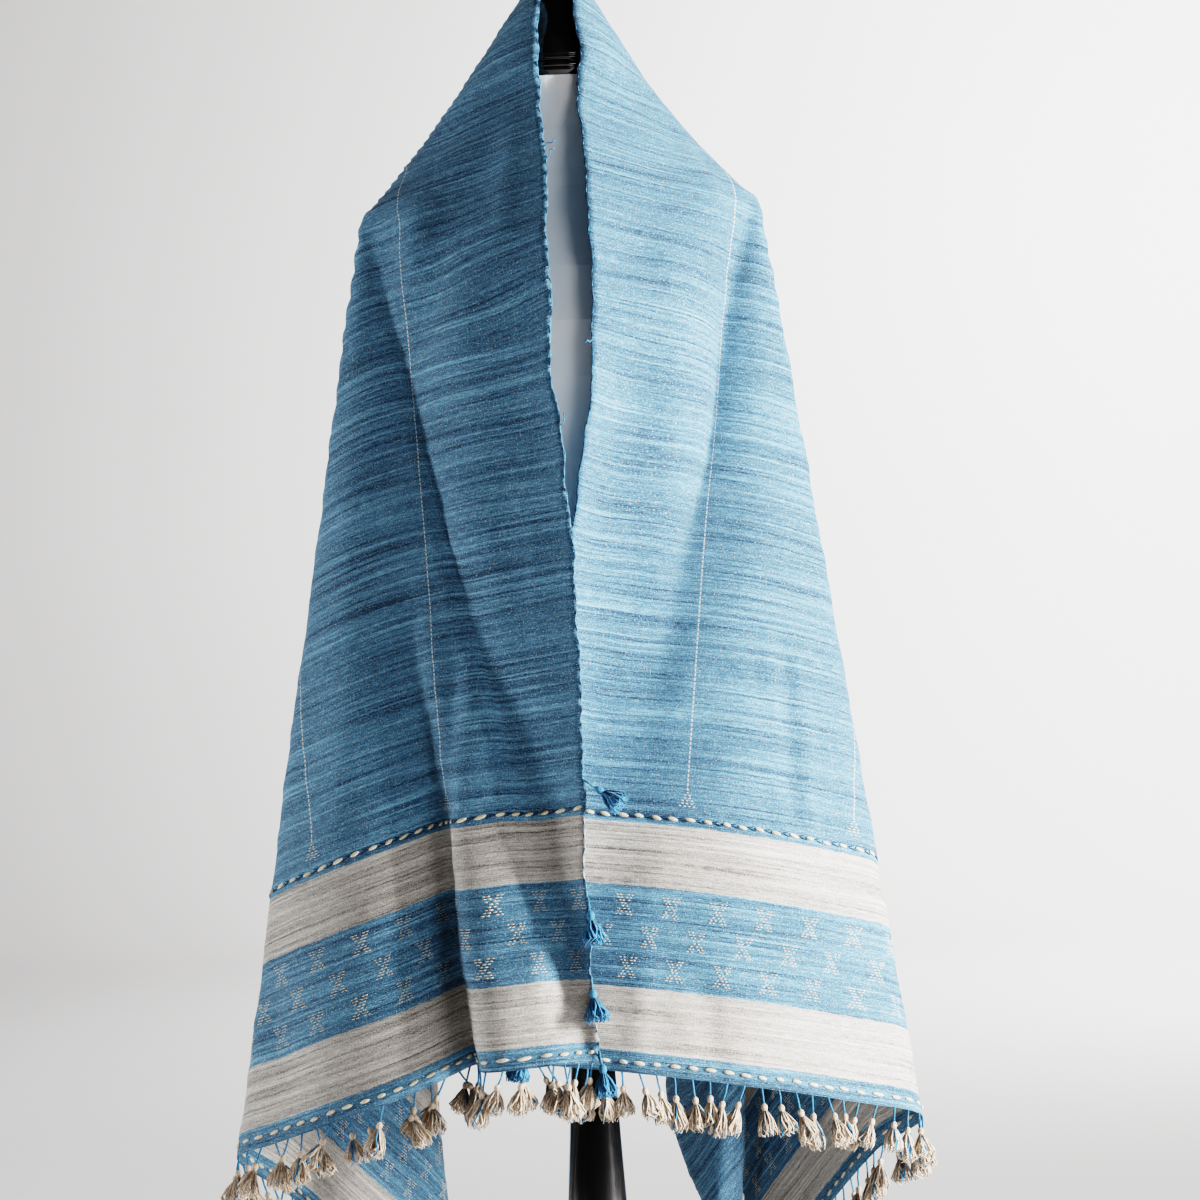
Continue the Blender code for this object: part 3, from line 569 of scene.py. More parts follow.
def drape_normals(along, across):
    """Unit normals of the draped cloth, from its slopes along and across the weave."""
    ahead = drape(along + SLOPE_STEP, across) - drape(along - SLOPE_STEP, across)
    aside = drape(along, across + SLOPE_STEP) - drape(along, across - SLOPE_STEP)
    normal = np.cross(ahead, aside)
    return normal / np.linalg.norm(normal, axis=1)[:, None]


# Creases laid into the cloth. Columns: half width on the left and on the right of the route, height
# off the cloth (a trough is negative), then the route in the flat cloth as places along (negative on the
# wearer's right) and across.
CREASES = [
    (0.060, 0.028, 0.0090, ((-0.26, 0.100), (-0.40, 0.098), (-0.56, 0.096), (-0.70, 0.094), (-0.86, 0.096))),
    (0.045, 0.050, -0.0100, ((-0.30, 0.010), (-0.42, 0.006), (-0.55, 0.004), (-0.70, 0.004), (-0.88, 0.004))),
    (0.007, 0.020, -0.0060, ((-0.60, 0.108), (-0.70, 0.122), (-0.79, 0.134), (-0.87, 0.144), (-1.05, 0.156))),
    (0.016, 0.016, 0.0035, ((-0.58, 0.170), (-0.75, 0.150), (-0.90, 0.145), (-1.05, 0.140))),
    (0.020, 0.020, 0.0045, ((-0.18, 0.060), (-0.22, 0.094), (-0.27, 0.125), (-0.36, 0.150))),
    (0.022, 0.022, -0.0045, ((-0.15, 0.085), (-0.25, 0.105), (-0.36, 0.108), (-0.50, 0.100))),
    (0.012, 0.012, 0.0025, ((-0.16, 0.030), (-0.24, 0.040), (-0.33, 0.050))),
    (0.018, 0.018, -0.0030, ((-0.88, 0.372), (-0.955, 0.360), (-1.03, 0.348))),
    (0.014, 0.014, 0.0025, ((-0.62, 0.300), (-0.76, 0.320), (-0.92, 0.330))),
    (0.008, 0.008, -0.0022, ((-0.50, 0.060), (-0.62, 0.052), (-0.70, 0.048))),
    (0.010, 0.010, 0.0022, ((0.165, 0.098), (0.203, 0.110), (0.245, 0.130))),
    (0.009, 0.009, -0.0022, ((0.17, 0.112), (0.21, 0.124), (0.25, 0.143))),
    (0.016, 0.016, 0.0030, ((0.27, 0.070), (0.38, 0.080), (0.52, 0.082))),
    (0.018, 0.018, -0.0030, ((0.40, 0.045), (0.52, 0.062), (0.66, 0.078))),
    (0.005, 0.005, -0.0018, ((0.66, 0.192), (0.69, 0.203), (0.725, 0.214))),
    (0.005, 0.005, -0.0016, ((0.785, 0.212), (0.81, 0.220), (0.84, 0.228))),
    (0.008, 0.008, -0.0032, ((0.61, 0.219), (0.72, 0.234), (0.83, 0.247))),
    (0.008, 0.008, 0.0022, ((0.64, 0.236), (0.73, 0.250), (0.84, 0.262))),
    (0.014, 0.014, -0.0026, ((0.94, 0.160), (0.99, 0.172), (1.05, 0.190))),
    (0.014, 0.014, 0.0022, ((0.93, 0.120), (1.05, 0.115))),
    (0.020, 0.020, 0.0035, ((-0.16, 0.52), (0.00, 0.44), (0.16, 0.52))),
    (0.018, 0.018, -0.0030, ((-0.14, 0.60), (0.01, 0.53), (0.15, 0.61))),
    (0.016, 0.016, 0.0028, ((-0.12, 0.33), (-0.02, 0.27), (0.10, 0.32))),
    (0.016, 0.016, -0.0026, ((0.30, 0.62), (0.46, 0.72), (0.60, 0.83))),
    (0.014, 0.014, 0.0026, ((0.34, 0.56), (0.52, 0.66), (0.70, 0.78))),
    (0.016, 0.016, -0.0026, ((-0.32, 0.60), (-0.50, 0.72), (-0.62, 0.82))),
    (0.014, 0.014, 0.0026, ((-0.36, 0.50), (-0.58, 0.64), (-0.74, 0.78))),
    (0.010, 0.010, -0.0022, ((0.80, 0.52), (0.90, 0.60), (0.98, 0.70))),
    (0.010, 0.010, -0.0022, ((-0.82, 0.50), (-0.90, 0.58), (-0.97, 0.68))),
]
# Handwoven cloth doesn't lie quite flat. Columns: height, waves per metre along and across, and the start
# of the wave.
PUCKERS = [
    (0.00045, 11.0, 4.0, 0.3),
    (0.00035, 6.0, 13.0, 1.9),
    (0.00030, 17.0, -9.0, 4.0),
    (0.00022, 29.0, 21.0, 2.4),
    (0.00018, -33.0, 37.0, 5.1),
]
# The long edges wander in and out a little. Columns: reach inwards, waves per metre, start of the wave.
EDGE_WAVES = [
    (0.0022, 9.0, 0.7),
    (0.0015, 23.0, 2.9),
    (0.0009, 57.0, 4.4),
]
EDGE_WAVE_DEPTH = 0.04
GRID_STEP = 0.0070
TURN = 2.0 * math.pi


def crease_height(along, across):
    """Height of the creases and puckers over the plain drape."""
    height = np.zeros_like(along)
    for rise, per_along, per_across, start in PUCKERS:
        height += rise * np.sin(TURN * (per_along * along + per_across * across) + start)
    for left_width, right_width, rise, route in CREASES:
        route = np.array(route)
        legs = np.linalg.norm(np.diff(route, axis=0), axis=1)
        behind = np.concatenate(([0.0], np.cumsum(legs)))
        nearest = np.full(along.shape, np.inf)
        reached = np.zeros_like(along)
        half_width = np.full(along.shape, left_width)
        for leg, length in enumerate(legs):
            step = (route[leg + 1] - route[leg]) / length
            run = (along - route[leg, 0]) * step[0] + (across - route[leg, 1]) * step[1]
            run = np.clip(run, 0.0, length)
            gap = np.hypot(
                along - route[leg, 0] - run * step[0],
                across - route[leg, 1] - run * step[1],
            )
            closer = gap < nearest
            nearest = np.where(closer, gap, nearest)
            reached = np.where(closer, (behind[leg] + run) / behind[-1], reached)
            on_left = step[0] * (across - route[leg, 1]) > step[1] * (along - route[leg, 0])
            half_width = np.where(closer, np.where(on_left, left_width, right_width), half_width)
        fade = smooth_step(reached / 0.3) * smooth_step((1.0 - reached) / 0.3 + 0.25)
        height += rise * np.exp(-((nearest / half_width) ** 2)) * fade
    return height


def cloth_place(along, across, lift=0.0):
    """Points on the creased cloth, `lift` above its middle on the outer face."""
    along = np.asarray(along, float)
    across = np.asarray(across, float)
    for reach, per_along, start in EDGE_WAVES:
        wave = 0.5 + 0.5 * np.sin(TURN * per_along * along + start)
        across = across + reach * wave * (1.0 - smooth_step(across / EDGE_WAVE_DEPTH))
        across = across - reach * wave * (1.0 - smooth_step((WIDTH - across) / EDGE_WAVE_DEPTH))
    height = crease_height(along, across) + lift
    return drape(along, across) + drape_normals(along, across) * height[:, None]


def grid(first, last, step):
    """Even stops from first to last, about `step` apart."""
    return np.linspace(first, last, 1 + math.ceil((last - first) / step))


stops_along = grid(-HALF_LENGTH, HALF_LENGTH, GRID_STEP)
stops_across = grid(0.0, WIDTH, GRID_STEP)
along, across = (flat.ravel() for flat in np.meshgrid(stops_along, stops_across, indexing="ij"))
columns = len(stops_across)
faces = []
for row in range(len(stops_along) - 1):
    for column in range(columns - 1):
        corner = row * columns + column
        faces.append((corner, corner + columns, corner + columns + 1, corner + 1))

# Bands of colour, as distances along the cloth from centre back.
BEIGE_INNER = (0.831, 0.888)
BEIGE_OUTER = (0.979, 1.036)
BAND_WANDER = 0.0022
# The cream warp threads: first place and spacing across, where they end, half width, and how often the weft
# covers them.
WARP_START = 0.145
WARP_PITCH = 0.156
WARP_END = 0.797
WARP_HALF = 0.00055
WARP_PICK = 0.0042
# The plain weave: one weft, and one ground warp thread.
WEFT_PITCH = 0.0018
GROUND_PITCH = 0.0022
NAVY = (0.028, 0.057, 0.098, 1.0)
BLUE = (0.098, 0.203, 0.305, 1.0)
PALE_BLUE = (0.240, 0.465, 0.650, 1.0)
GREY_BROWN = (0.165, 0.150, 0.145, 1.0)
BEIGE = (0.440, 0.415, 0.385, 1.0)
CREAM = (0.740, 0.715, 0.670, 1.0)

paint = Paint("handwoven_cloth", {"Sheen Weight": 0.12, "Sheen Roughness": 0.5, "Specular IOR Level": 0.25})
flat = paint.node("ShaderNodeAttribute", {"attribute_name": "cloth_place"}, {}, "Vector")
flat_along, flat_across = (paint.node("ShaderNodeSeparateXYZ", {}, {0: flat}, axis) for axis in range(2))
to_end = flat_along.math("ABSOLUTE")
weft = (flat_along * (1.0 / WEFT_PITCH)).math("FLOOR")
weft_tones = paint.noise(1.37 * weft, 7.0 * flat_across, 3.0, 1.0)
wide_streaks = paint.noise(150.0 * flat_along, 3.2 * flat_across, 9.0)
slubs = paint.noise(900.0 * flat_along, 110.0 * flat_across, 17.0)
specks = paint.noise(820.0 * flat_along, 640.0 * flat_across, 23.0, 1.0)
patches = paint.noise(16.0 * flat_along, 6.0 * flat_across, 31.0)
tone = 0.34 * weft_tones + 0.18 * wide_streaks + 0.26 * slubs + 0.26 * specks + 0.08 * patches
dark_share = tone.above(0.495, 0.085)
pale_share = tone.above(0.630, 0.085)
blue_cloth = paint.mix(pale_share, paint.mix(dark_share, NAVY, BLUE), PALE_BLUE)
beige_cloth = paint.mix(pale_share, paint.mix(dark_share, GREY_BROWN, BEIGE), CREAM)
ragged = to_end + BAND_WANDER * (paint.noise(90.0 * flat_across, 9.0 * flat_along, 41.0) - 0.5)
in_beige = ragged.between(*BEIGE_INNER, 0.0005) + ragged.between(*BEIGE_OUTER, 0.0005)
flecks = paint.noise(1000.0 * flat_along, 560.0 * flat_across, 53.0, 1.0).above(0.675, 0.03)
striped = paint.mix(0.6 * flecks, paint.mix(in_beige, blue_cloth, beige_cloth), CREAM)
on_warp = 1.0 - flat_across.off_line(WARP_START, WARP_PITCH).above(WARP_HALF, 0.0003)
picks = (flat_along * (1.0 / WARP_PICK)).math("FRACT").above(0.32, 0.10)
warp_share = 0.8 * on_warp * picks * (1.0 - to_end.above(WARP_END, 0.002))
cloth_colour = paint.mix(warp_share, striped, CREAM)
weft_rounding = (flat_along * (TURN / WEFT_PITCH)).math("SINE")
warp_dips = weft_rounding * (flat_across * (TURN / GROUND_PITCH)).math("SINE")
cloth_height = 0.22 * weft_rounding + 0.12 * warp_dips + 0.40 * slubs + 0.30 * specks + 0.20 * weft_tones
handwoven = paint.finish(cloth_colour, 0.68 + 0.25 * slubs, cloth_height, 0.55, 0.0009)

shawl = mesh_piece("shawl", cloth_place(along, across), faces, [handwoven])
flat_places = np.stack((along, across, np.zeros_like(along)), axis=1)
marks = shawl.data.attributes.new("cloth_place", "FLOAT_VECTOR", "POINT")
marks.data.foreach_set("vector", flat_places.astype(np.float32).ravel())
wall = shawl.modifiers.new("wall", "SOLIDIFY")
wall.thickness = CLOTH_WALL
wall.offset = 0.0
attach(shawl, "root")
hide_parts("shawl_back", "shawl_right_front", "shawl_left_front")


# Running stitches.
# Two rows of thick cream running stitches cross each end: one above the inner beige band, with a dark-blue
# thread between its stitches, and one along the middle of the blue hem.

STITCHES = 58
UPPER_ROW = 0.8245
HEM_ROW = 1.0455
UPPER_SLANT = 0.20
HEM_SLANT = 0.08
# Half length, half width and half height of a cream stitch and of the dark-blue thread between two.
STITCH_SIZE = (0.0045, 0.0018, 0.0014)
THREAD_SIZE = (0.0036, 0.0006, 0.0006)


def dash_shape(rings, sides):
    """Points and faces of a small closed spindle along its first axis, each half axis 1 long."""
    points = [(-1.0, 0.0, 0.0)]
    for ring in range(1, rings):
        turn = math.pi * ring / rings
        for side in range(sides):
            spin = TURN * side / sides
            radius = math.sin(turn)
            points.append((-math.cos(turn), radius * math.cos(spin), radius * math.sin(spin)))
    points.append((1.0, 0.0, 0.0))
    last = len(points) - 1
    faces = []
    for side in range(sides):
        after = (side + 1) % sides
        faces.append((0, 1 + after, 1 + side))
        faces.append((last, last - sides + side, last - sides + after))
        for ring in range(rings - 2):
            low = 1 + ring * sides
            faces.append((low + side, low + after, low + sides + after, low + sides + side))
    return np.array(points), faces


class Dashes:
    """Small raised threads on the cloth, placed in the flat cloth and then draped with it."""

    def __init__(self, rings, sides):
        self.shape, self.shape_faces = dash_shape(rings, sides)
        self.flat = []
        self.faces = []
        self.kinds = []

    def add(self, along, across, lift, half_size, slant=0.0, kind=0):
        """One dash across the cloth. half_size is its half length, half width and half height."""
        start = len(self.flat) * len(self.shape)
        local = self.shape * half_size
        run = local[:, 0] * math.cos(slant) - local[:, 1] * math.sin(slant)
        rise = local[:, 0] * math.sin(slant) + local[:, 1] * math.cos(slant)
        self.flat.append(np.stack((along + rise, across + run, lift + local[:, 2]), axis=1))
        self.faces += [tuple(start + index for index in face) for face in self.shape_faces]
        self.kinds += [kind] * len(self.shape_faces)

    def finish(self, name, materials):
        """The dashes as one mesh on the draped cloth."""
        flat = np.concatenate(self.flat)
        points = cloth_place(flat[:, 0], np.clip(flat[:, 1], 0.0, WIDTH), flat[:, 2])
        piece = mesh_piece(name, points, self.faces, materials, self.kinds)
        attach(piece, "root")
        return piece


def yarn_paint(name, dark_tone_and_shade, light, twist):
    """Material of a spun yarn: painted shade darkens it between its fibres, and its tone is uneven along its
    length.
    """
    paint = Paint(name, {"Sheen Weight": 0.15, "Sheen Roughness": 0.5, "Specular IOR Level": 0.2})
    x, y, z = paint.object_place()
    fibres = paint.noise(twist * x, twist * y, 0.45 * twist * z, 2.0)
    uneven = paint.noise(60.0 * x, 60.0 * y, 60.0 * z, 1.0)
    # Painted shade: the yarn takes its dark colour where the fibre noise is low, between the fibres; the rest
    # of the darkening is random tone along the yarn.
    share = (0.7 * fibres + 0.3 * uneven).above(0.5, 0.2)
    return paint.finish(paint.mix(share, dark_tone_and_shade, light), 0.72 + 0.2 * fibres, fibres, 0.5, 0.0006)


# Each yarn's first colour is painted shade between the fibres together with its darker random tone; the
# second is the fibres' own colour.
cream_yarn = yarn_paint("cream_yarn", (0.38, 0.29, 0.22, 1.0), (0.78, 0.66, 0.54, 1.0), 900.0)
stitch_yarn = yarn_paint("stitch_yarn", (0.55, 0.46, 0.33, 1.0), (0.88, 0.78, 0.62, 1.0), 900.0)
navy_yarn = yarn_paint("navy_yarn", (0.010, 0.030, 0.065, 1.0), (0.030, 0.085, 0.150, 1.0), 900.0)
blue_yarn = yarn_paint("blue_yarn", (0.035, 0.130, 0.260, 1.0), (0.110, 0.300, 0.480, 1.0), 900.0)

chance = random.Random(7)
stitches = Dashes(6, 6)
pitch = WIDTH / STITCHES
face_lift = 0.5 * CLOTH_WALL
for end in (-1.0, 1.0):
    for stitch in range(STITCHES):
        across_at = (stitch + 0.5) * pitch
        for row, slant in ((UPPER_ROW, UPPER_SLANT), (HEM_ROW, HEM_SLANT)):
            for face in (1.0, -1.0):
                stitches.add(
                    end * (row + chance.uniform(-0.0006, 0.0006)),
                    across_at + (0.0 if face > 0.0 else 0.5 * pitch) + chance.uniform(-0.0008, 0.0008),
                    face * (face_lift + 0.0006),
                    (STITCH_SIZE[0] + chance.uniform(-0.0007, 0.0007), *STITCH_SIZE[1:]),
                    slant * end + chance.uniform(-0.08, 0.08),
                )
        for turn in (-1.0, 1.0):
            stitches.add(
                end * (UPPER_ROW + 0.0010 * turn),
                across_at + 0.5 * pitch + 0.0014 * turn,
                face_lift + 0.0004,
                THREAD_SIZE,
                0.28 * end * turn,
                1,
            )
running_stitches = stitches.finish("running_stitches", [stitch_yarn, navy_yarn])


# Woven motifs.
# Small hourglass figures of short cream weft floats stand in three staggered rows in the blue band, and
# each cream warp thread ends in a small stepped triangle. The floats show on both faces.

MOTIF_ROWS = (0.9055, 0.9335, 0.9615)
MOTIF_PITCH = 0.0425
# Each row starts this share of a pitch further on than the row before.
MOTIF_SHIFT = -0.42
# Bare cloth before the first figure and after the last.
MOTIF_MARGINS = (0.009, 0.008)
# Floats of each row of a figure, from its top down, as places across from its middle.
MOTIF_FLOATS = [
    (-0.0068, -0.0034, 0.0034, 0.0068),
    (-0.0058, -0.0026, 0.0026, 0.0058),
    (-0.0042, -0.0012, 0.0042),
    (-0.0026, 0.0010),
    (-0.0014, 0.0024),
    (-0.0040, 0.0006, 0.0040),
    (-0.0056, -0.0024, 0.0024, 0.0056),
    (-0.0068, -0.0036, 0.0036, 0.0068),
]
FLOAT_STEP = 0.0025
FLOAT_SIZE = (0.00175, 0.00075, 0.0015)
WARP_LINES = 5
TRIANGLE_ROWS = 7
TRIANGLE_PITCH = 0.0042
TRIANGLE_SIZE = (0.0017, 0.0008, 0.0015)

floats = Dashes(4, 4)
for end in (-1.0, 1.0):
    for row, row_at in enumerate(MOTIF_ROWS):
        offset = (row * MOTIF_SHIFT * MOTIF_PITCH) % MOTIF_PITCH
        across_at = MOTIF_MARGINS[0] + offset
        while across_at < WIDTH - MOTIF_MARGINS[1]:
            for step, places in enumerate(MOTIF_FLOATS):
                for place in places:
                    floats.add(
                        end * (row_at + (step - 0.5 * (len(MOTIF_FLOATS) - 1)) * FLOAT_STEP),
                        across_at + place + chance.uniform(-0.0004, 0.0004),
                        0.0,
                        FLOAT_SIZE,
                        chance.uniform(-0.12, 0.12),
                    )
            across_at += MOTIF_PITCH
    for line in range(WARP_LINES):
        across_at = WARP_START + WARP_PITCH * line
        for row in range(TRIANGLE_ROWS):
            count = 1 + row // 2
            for index in range(count):
                floats.add(
                    end * (WARP_END + row * FLOAT_STEP),
                    across_at + (index - 0.5 * (count - 1)) * TRIANGLE_PITCH,
                    0.0,
                    TRIANGLE_SIZE,
                )
woven_motifs = floats.finish("woven_motifs", [stitch_yarn])


# Selvedges.
# The long edges are a little uneven where the weft turns back round a doubled outer warp, and a few short
# blue threads stick out of the front ones.

SELVEDGE_STEP = 0.0040
# The two outer warps wind round each other once in this length, and stand off the cloth by this lift.
WARP_WINDING = 0.0125
WARP_LIFT = 0.00045
WARP_RADIUS = 0.00062
WARP_INSET = 0.0004
LOOSE_RADIUS = 0.0006
# How far in from its edge the cloth shows which way the edge faces.
EDGE_DEPTH = 0.010
# Columns: distance along the cloth of a loose thread's root, then its bends as along, across and lift.
LOOSE_THREADS = [
    (-0.232, ((0.002, -0.004, 0.002), (-0.001, -0.009, 0.003), (0.001, -0.013, 0.003))),
    (-0.246, ((0.003, -0.005, 0.001), (0.006, -0.006, 0.003), (0.005, -0.010, 0.003))),
    (-0.480, ((-0.002, -0.004, 0.001), (0.003, -0.007, 0.002), (0.008, -0.008, 0.003))),
    (0.415, ((0.003, -0.003, 0.001), (0.002, -0.007, 0.002), (0.005, -0.009, 0.003))),
    (0.690, ((-0.002, -0.003, 0.001), (0.002, -0.005, 0.002), (0.006, -0.005, 0.002))),
]


class Threads:
    """Thin closed tubes along paths, gathered into one mesh."""

    def __init__(self):
        self.points = []
        self.faces = []
        self.kinds = []

    def tube(self, path, radii, sides, kind=0):
        """A tube through the points of a path, with a radius at each."""
        path = [Vector(point) for point in path]
        start = len(self.points)
        ahead = (path[1] - path[0]).normalized()
        guide = ahead.orthogonal()
        for index, centre in enumerate(path):
            before = path[max(index - 1, 0)]
            after = path[min(index + 1, len(path) - 1)]
            heading = (after - before).normalized()
            guide = (guide - heading * guide.dot(heading)).normalized()
            aside = heading.cross(guide)
            for side in range(sides):
                spin = TURN * side / sides
                reach = guide * math.cos(spin) + aside * math.sin(spin)
                self.points.append(tuple(centre + reach * radii[index]))
        for ring in range(len(path) - 1):
            low = start + ring * sides
            for side in range(sides):
                after = (side + 1) % sides
                self.faces.append((low + side, low + after, low + sides + after, low + sides + side))
        self.faces.append(tuple(reversed(range(start, start + sides))))
        self.faces.append(tuple(range(len(self.points) - sides, len(self.points))))
        self.kinds += [kind] * (len(self.faces) - len(self.kinds))

    def finish(self, name, materials):
        """The tubes as one mesh."""
        piece = mesh_piece(name, self.points, self.faces, materials, self.kinds)
        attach(piece, "root")
        return piece


edges = Threads()
chance = random.Random(21)
stops = grid(-HALF_LENGTH + 0.001, HALF_LENGTH - 0.001, SELVEDGE_STEP)
for edge in (0.0, WIDTH):
    for turn in (-1.0, 1.0):
        wander = np.array([chance.uniform(-0.5, 0.5) for _ in stops])
        wave = np.sin(stops / WARP_WINDING * TURN + turn)
        lift = WARP_LIFT * turn * wave
        inset = np.abs(edge - WARP_INSET - 0.0005 * wander - 0.0002 * wave)
        path = cloth_place(stops, inset, lift)
        edges.tube(path, [WARP_RADIUS + 0.00012 * abs(value) for value in wander], 4, 0 if turn < 0.0 else 1)
for root, bends in LOOSE_THREADS:
    at_edge, inside, further = cloth_place((root, root, root + EDGE_DEPTH), (0.0, EDGE_DEPTH, 0.0))
    away = (at_edge - inside) / np.linalg.norm(at_edge - inside)
    towards = (further - at_edge) / np.linalg.norm(further - at_edge)
    face = drape_normals(np.array((root,)), np.array((0.001,)))[0]
    path = [at_edge]
    for run, out, lift in bends:
        path.append(at_edge + towards * run - away * out + face * lift)
    edges.tube(path, [LOOSE_RADIUS] * len(path), 4, 1)
selvedges = edges.finish("selvedges", [navy_yarn, blue_yarn])


# Fringe.
# Each end has a row of little cream tassels, each on a light-blue cord from the hem, bound at its head and
# with a full skirt of soft cut strands, a few of them blue.

TASSELS_PER_END = 58
CORD_LENGTH = 0.0165
HEAD_LENGTH = 0.0060
HEAD_RADIUS = 0.0029
SKIRT_LENGTH = 0.0240
SKIRT_RADIUS = 0.0090
SKIRT_STRANDS = 38
CORD_RADII = (0.0010, 0.0009, 0.0009)
STRAND_RADII = (0.0007, 0.00095, 0.00085, 0.00045)
# Share of a turn from one strand to the next, which spreads them evenly, and share of strands that stray.
GOLDEN_TURN = 0.382
STRAY_SHARE = 0.07


def hang_tassel(threads, root, down, sizes, strands, kinds, rng):
    """A corded tassel, as tubes among the threads.

    sizes: cord, head and skirt length, head and skirt radius. kinds: cord, yarn, stray yarn.
    """
    cord, head, skirt, head_radius, skirt_radius = sizes
    down = Vector(down).normalized()
    across = down.orthogonal().normalized()
    other = down.cross(across)
    sway = across * rng.uniform(-1.0, 1.0) + other * rng.uniform(-1.0, 1.0)
    neck = root + down * cord + sway * (0.12 * cord)
    middle = root + down * (0.5 * cord) + sway * (0.02 * cord)
    threads.tube([root, middle, neck], CORD_RADII, 5, kinds[0])
    knob = [neck + down * drop for drop in (-0.0008, 0.20 * head, 0.55 * head, head)]
    radii = [0.45 * head_radius, 0.95 * head_radius, head_radius, 0.70 * head_radius]
    threads.tube(knob, radii, 8, kinds[1])
    tie = neck + down * (0.80 * head)
    threads.tube([tie - down * 0.0005, tie, tie + down * 0.0005], [0.8 * head_radius] * 3, 8, kinds[1])
    foot = neck + down * head
    for strand in range(strands):
        spin = TURN * (strand + rng.uniform(-0.4, 0.4)) * GOLDEN_TURN
        share = math.sqrt((strand + 0.5) / strands)
        reach = across * math.cos(spin) + other * math.sin(spin)
        length = skirt * rng.uniform(0.86, 1.05)
        curl = rng.uniform(-0.3, 0.3)
        bend = down.cross(reach) * (curl * skirt_radius * 3.0)
        path = [
            foot + reach * (0.55 * head_radius * share) - down * 0.0008,
            foot + reach * (0.75 * skirt_radius * share) + down * (0.35 * length) + bend * 0.3,
            foot + reach * (skirt_radius * share) + down * (0.75 * length) + bend,
            foot + reach * (skirt_radius * share * rng.uniform(0.85, 1.1)) + down * length,
        ]
        kind = kinds[2] if rng.random() < STRAY_SHARE else kinds[1]
        threads.tube(path, STRAND_RADII, 3, kind)


for end, name in ((-1.0, "right"), (1.0, "left")):
    chance = random.Random(31 + int(end))
    threads = Threads()
    across = (np.arange(TASSELS_PER_END) + 0.5) * WIDTH / TASSELS_PER_END
    along = np.full(TASSELS_PER_END, end * (HALF_LENGTH - 0.0008))
    roots = cloth_place(along, across)
    for root in roots:
        lean = Vector((chance.gauss(0.0, 0.20), chance.gauss(0.0, 0.12), -1.0))
        stretch = chance.uniform(0.84, 1.08)
        sizes = (CORD_LENGTH * stretch, HEAD_LENGTH, SKIRT_LENGTH * stretch, HEAD_RADIUS, SKIRT_RADIUS)
        hang_tassel(threads, Vector(root), lean, sizes, SKIRT_STRANDS, (1, 0, 1), chance)
    fringe = threads.finish("tassels_" + name, [cream_yarn, blue_yarn])
    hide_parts("fringe_" + name)


# Blue edge tassels.
# Five larger tassels of the cloth's own blue yarn hang on short cords that are tied into the front selvedges
# near the ends: four on the wearer's right, and one on the left.

# Columns: the node it replaces, end, distance along the cloth, lean as out, forward and down.
EDGE_TASSELS = [
    ("edge_tassel_1", -1.0, 0.800, (0.85, -0.12, -0.65)),
    ("edge_tassel_2", -1.0, 0.905, (0.10, -0.10, -1.0)),
    ("edge_tassel_3", -1.0, 0.975, (0.16, -0.10, -1.0)),
    ("edge_tassel_4", -1.0, 1.044, (0.10, -0.10, -1.0)),
    ("edge_tassel_5", 1.0, 1.030, (-0.05, -0.10, -1.0)),
]
EDGE_TASSEL_SIZES = (0.0130, 0.0075, 0.0210, 0.0036, 0.0098)
EDGE_TASSEL_STRANDS = 64

chance = random.Random(5)
for node, end, along_at, lean in EDGE_TASSELS:
    threads = Threads()
    at_edge, inside = cloth_place((end * along_at, end * along_at), (0.0, EDGE_DEPTH))
    away = (at_edge - inside) / np.linalg.norm(at_edge - inside)
    root = Vector(at_edge + away * 0.0006)
    hang_tassel(threads, root, lean, EDGE_TASSEL_SIZES, EDGE_TASSEL_STRANDS, (0, 0, 0), chance)
    tassel = threads.finish("blue_" + node, [blue_yarn])
    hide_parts(node)


# Dress form body.
# A plain limbless torso, padded and covered in taut white cotton, stands on the post. It shows between the
# fronts as a pale strip.

COTTON_PITCH = 0.0011

paint = Paint("form_cover", {"Sheen Weight": 0.1, "Specular IOR Level": 0.25})
x, y, z = paint.object_place()
weave = (z * (TURN / COTTON_PITCH)).math("SINE") * ((x + y) * (TURN / COTTON_PITCH)).math("SINE")
soft = paint.noise(9.0 * x, 9.0 * y, 9.0 * z)
yarns = paint.noise(700.0 * x, 700.0 * y, 260.0 * z)
colour = paint.mix(0.6 * soft + 0.4 * yarns, (0.86, 0.86, 0.865, 1.0), (0.94, 0.94, 0.94, 1.0))
cover = paint.finish(colour, 0.7 + 0.15 * yarns, 0.3 * weave + 0.7 * yarns, 0.25, 0.0004)
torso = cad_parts["form_torso"]
torso.data.materials.clear()
torso.data.materials.append(cover)


# Neck cap, post and base.
# Turned wood in glossy black lacquer: a bell-shaped cap with fine grooves and a small knob, a swelling post,
# and a round base with a rounded upper edge, which the photo doesn't show.

LATHE_STEPS = 96
GROOVES = (1.4055, 1.4125, 1.4165)
GROOVE_DEPTH = 0.0011
GROOVE_HALF = 0.0011
CAP_STEP = 0.0007
POST_STEP = 0.004

paint = Paint("black_lacquer", {"Coat Weight": 0.6, "Coat Roughness": 0.08, "Specular IOR Level": 0.5})
x, y, z = paint.object_place()
haze = paint.noise(22.0 * x, 22.0 * y, 22.0 * z)
rings = paint.noise(4.0 * x, 4.0 * y, 900.0 * z)
colour = paint.mix(haze, (0.006, 0.006, 0.007, 1.0), (0.014, 0.013, 0.014, 1.0))
lacquer = paint.finish(colour, 0.10 + 0.14 * haze, 0.6 * rings + 0.4 * haze, 0.06, 0.0004)


